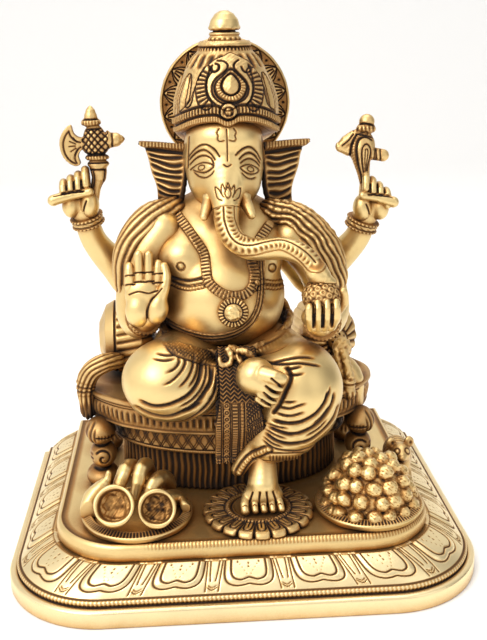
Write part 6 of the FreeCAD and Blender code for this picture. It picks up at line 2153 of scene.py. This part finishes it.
def make_sweet_ball():
    """The round sweet, its crust covered in little rings."""
    centre = np.array((47.5, -46, 172))
    clay = Clay(centre - 15, centre + 15, 0.45)
    clay.oval(centre, (11, 11, 10), 1)
    form = clay.form()
    heading = form.points - centre
    heading /= np.linalg.norm(heading, axis=1)[:, None]
    gap = np.arccos(np.clip(heading @ scattered(90).T, -1, 1)).min(1) * 10.6
    form.relief += 0.6 * bump(gap - 1.2, 0.8) + 0.3 * bump(gap, 0.7)
    form.stain(0.75 * ease((gap - 1.9) / 0.4) + 0.5 * bump(gap - 0.5, 0.4))
    form.settle()
    return finish_piece(form, "sweet_ball_crust", ["sweet_ball"], ANTIQUED, cavity=1.0, rounds=3)


def make_mouse():
    """The mouse: a humped back, a raised snout, two round ears, small feet and a curled tail."""
    low, high = span("mouse")
    clay = Clay(low - (6, 8, 3), high + (6, 6, 6), 0.5)
    clay.oval((105, -4, 50), (9, 15, 11.5), 1)
    clay.oval((103, -19, 51), (7, 8, 9.5), 4)
    clay.oval((102.6, -23, 60), (6.4, 7.5, 6.2), 2)
    clay.limb(((102.3, -27, 59, 4.2), (101.6, -32, 59.6, 2.5)), 2)
    clay.oval((96.8, -20.5, 65.2), (3.3, 1.8, 3.9), 0.6)
    clay.oval((108.3, -20.5, 65.8), (3.3, 1.8, 3.9), 0.6)
    for x in (98.5, 108):
        clay.limb(((x, -20, 46, 2.8), (x, -25, 42, 2.4)), 1.5)
    clay.limb(((107, 8, 45, 3), (109, 16, 43, 2.4), (105, 24, 42, 1.8)), 1.5)
    clay.flatten((0, 0, low[2]), (0, 0, -1), 0.4)
    form = clay.form()
    fur = wave(form.points[:, 1] + 0.4 * form.points[:, 2] + 0.6 * noise(form.points, 8, 43), 3.0)
    back = ease((form.points[:, 1] + 18) / 6) * ease((form.points[:, 2] - low[2] - 3) / 4)
    form.relief += 0.35 * back * (fur - 0.5)
    form.stain(0.35 * back * (1 - fur) ** 2)
    for x in (99.0, 105.8):
        eye = np.linalg.norm(form.points - (x, -28, 63), axis=1)
        form.relief += 0.8 * bump(eye, 1.8)
        form.stain(bump(eye - 2, 0.9))
    u, v = front_view(form, -34)
    form.groove(u, v, [(98.6, 59), (101, 58.2), (104, 58.8)], 0.7, 0.7, where=faces_front(form))
    for x in (96.8, 108.3):
        inner = np.hypot((u - x - 0.3) / 1.0, (v - 65.6 - 0.31 * 13) / 1.3)
        form.relief -= 0.8 * bump(inner, 1.8) * faces_front(form)
        form.stain(0.8 * bump(inner, 1.6) * faces_front(form))
    form.settle()
    return finish_piece(form, "mouse_casting", ["mouse"], ANTIQUED, cavity=1.0, rounds=6)


# ---- Steel fasteners ----

def plate_fasteners():
    """Zinc-plated steel on the bolts and the washer under the deck."""
    made, tree, shader, node = material("plated_steel_look")
    place = node("ShaderNodeTexCoord").outputs["Object"]
    cloud = node("ShaderNodeTexNoise", {"Vector": place, "Scale": 60, "Detail": 3}).outputs["Fac"]
    dull = node("ShaderNodeMapRange", {"Value": cloud, "To Min": 0.28, "To Max": 0.46}).outputs[0]
    tree.links.new(dull, shader.inputs["Roughness"])
    shader.inputs["Base Color"].default_value = (0.56, 0.57, 0.60, 1)
    shader.inputs["Metallic"].default_value = 1.0
    for name in ("throne_bolts", "figure_tie_bolt", "tie_washer"):
        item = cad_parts[name]
        item.data.materials.clear()
        item.data.materials.append(made)


# ---- Put together ----

make_plinth_rim()
make_plinth_deck()
make_footrest()
make_dish("sweets_dish", "sweets_dish_casting")
make_dish("fruit_dish", "fruit_dish_casting")
make_sweets_heap()
make_bananas()
make_coconut_half("coconut_half_left", "coconut_left_shell", 1.0, (1.7, 4.0), -6, 56, 0.7)
make_coconut_half("coconut_half_right", "coconut_right_shell", 0.94, (-1.0, 2.0), 8, 60, 1.3)
make_throne_seat()
make_throne_apron()
make_throne_skirt()
for end_name, end in (("front", -1), ("rear", 1)):
    for side_name, side in (("left", -1), ("right", 1)):
        make_throne_foot("throne_foot_%s_%s" % (end_name, side_name), side, end)
torso = make_torso()
make_ornaments(torso)
make_belt()
make_leg_left()
make_leg_right()
make_foot_left()
make_foot_right()
make_head()
make_trunk()
make_tusk("tusk_left", -1)
make_tusk("tusk_right", 1)
make_ear("ear_left", -1)
make_ear("ear_right", 1)
make_crown()
make_halo()
make_finial()
for arm_name in ARMS:
    make_arm(arm_name)
make_cuffs("rear_cuffs", (("rear_arm_left", 7.4), ("rear_arm_right", 7.6)))
make_cuffs("front_cuffs", (("front_arm_left", 8.2), ("front_arm_right", 8.2)))
make_blessing_hand()
make_offering_hand()
make_fist("rear_hand_left", 1, (-92.5, 14, 219), 15.5, 0)
make_fist("rear_hand_right", -1, (87, 14, 212), 12.6, 3.5)
make_axe()
make_goad()
make_shawls()
make_drapes()
make_bolster_left()
make_bolster_right()
make_tassel()
make_sash()
make_sweet_ball()
make_mouse()
plate_fasteners()


# ---- Floor, light and camera ----

def make_stage():
    """A pale floor that curves up into a backdrop."""
    paint, _, shader, _ = material("pale_paper")
    shader.inputs["Base Color"].default_value = (0.93, 0.93, 0.93, 1)
    shader.inputs["Roughness"].default_value = 0.9
    shader.inputs["Specular IOR Level"].default_value = 0.1
    profile = [(-4.0, 0.0), (1.6, 0.0)]
    profile += [(1.6 + 0.8 * math.sin(angle), 0.8 - 0.8 * math.cos(angle))
                for angle in np.linspace(0.1, math.pi / 2, 12)]
    profile += [(2.4, 4.5)]
    rows = np.array([[(x / MM, y / MM, z / MM) for x in np.linspace(-5, 5, 12)] for y, z in profile])
    form = sheet_of(rows)
    mesh = bpy.data.meshes.new("floor")
    mesh.from_pydata([tuple(point * MM) for point in form.points], [],
                     [tuple(face) for face in form.faces.tolist()])
    mesh.polygons.foreach_set("use_smooth", np.ones(len(mesh.polygons), bool))
    floor = bpy.data.objects.new("floor", mesh)
    bpy.context.scene.collection.objects.link(floor)
    mesh.materials.append(paint)


def make_light(name, place, aim, size, power, colour=(1, 1, 1)):
    """A square soft box that points at a spot."""
    lamp = bpy.data.lights.new(name, "AREA")
    lamp.size = size
    lamp.energy = power
    lamp.color = colour
    item = bpy.data.objects.new(name, lamp)
    item.location = place
    item.rotation_euler = (Vector(aim) - Vector(place)).to_track_quat("-Z", "Y").to_euler()
    bpy.context.scene.collection.objects.link(item)


def make_world(dark, bright):
    """A white room that is brightest high up on the left."""
    world = bpy.data.worlds.new("studio")
    world.use_nodes = True
    bpy.context.scene.world = world
    tree = world.node_tree
    back = tree.nodes["Background"]
    back.inputs["Color"].default_value = (1.0, 0.98, 0.95, 1)
    place = tree.nodes.new("ShaderNodeTexCoord")
    dot = tree.nodes.new("ShaderNodeVectorMath")
    dot.operation = "DOT_PRODUCT"
    dot.inputs[1].default_value = (-0.78, -0.12, 0.62)
    tree.links.new(place.outputs["Generated"], dot.inputs[0])
    fade = tree.nodes.new("ShaderNodeMapRange")
    fade.inputs["From Min"].default_value = -0.7
    fade.inputs["From Max"].default_value = 0.9
    fade.inputs["To Min"].default_value = dark
    fade.inputs["To Max"].default_value = bright
    tree.links.new(dot.outputs["Value"], fade.inputs["Value"])
    tree.links.new(fade.outputs["Result"], back.inputs["Strength"])


def make_camera():
    """The viewpoint: a little left of the middle, looking down on the idol from in front."""
    data = bpy.data.cameras.new("camera")
    data.lens = 50
    data.sensor_width = 34.08
    data.shift_x = 8.6 / 640
    data.clip_start = 0.05
    data.clip_end = 30
    camera = bpy.data.objects.new("camera", data)
    azimuth, pitch, roll = math.radians(-3.2), math.radians(17.4), math.radians(-1.1)
    camera.location = (-0.0314, -0.5611, 0.321)
    look = Matrix.Rotation(azimuth, 3, "Z") @ Matrix.Rotation(math.pi / 2 - pitch, 3, "X")
    look = look @ Matrix.Rotation(roll, 3, "Z")
    camera.rotation_euler = look.to_euler()
    bpy.context.scene.collection.objects.link(camera)
    bpy.context.scene.camera = camera


make_stage()
make_world(0.3, 1.25)
make_light("key", (-0.75, -0.85, 1.15), (0, 0, 0.12), 0.9, 12, (1.0, 0.98, 0.94))
make_light("fill", (0.95, -0.75, 0.6), (0, 0, 0.12), 0.8, 1.5)
make_light("top", (0.0, 0.25, 1.4), (0, 0, 0.1), 1.0, 6)
make_camera()
bpy.context.scene.view_settings.view_transform = "Standard"
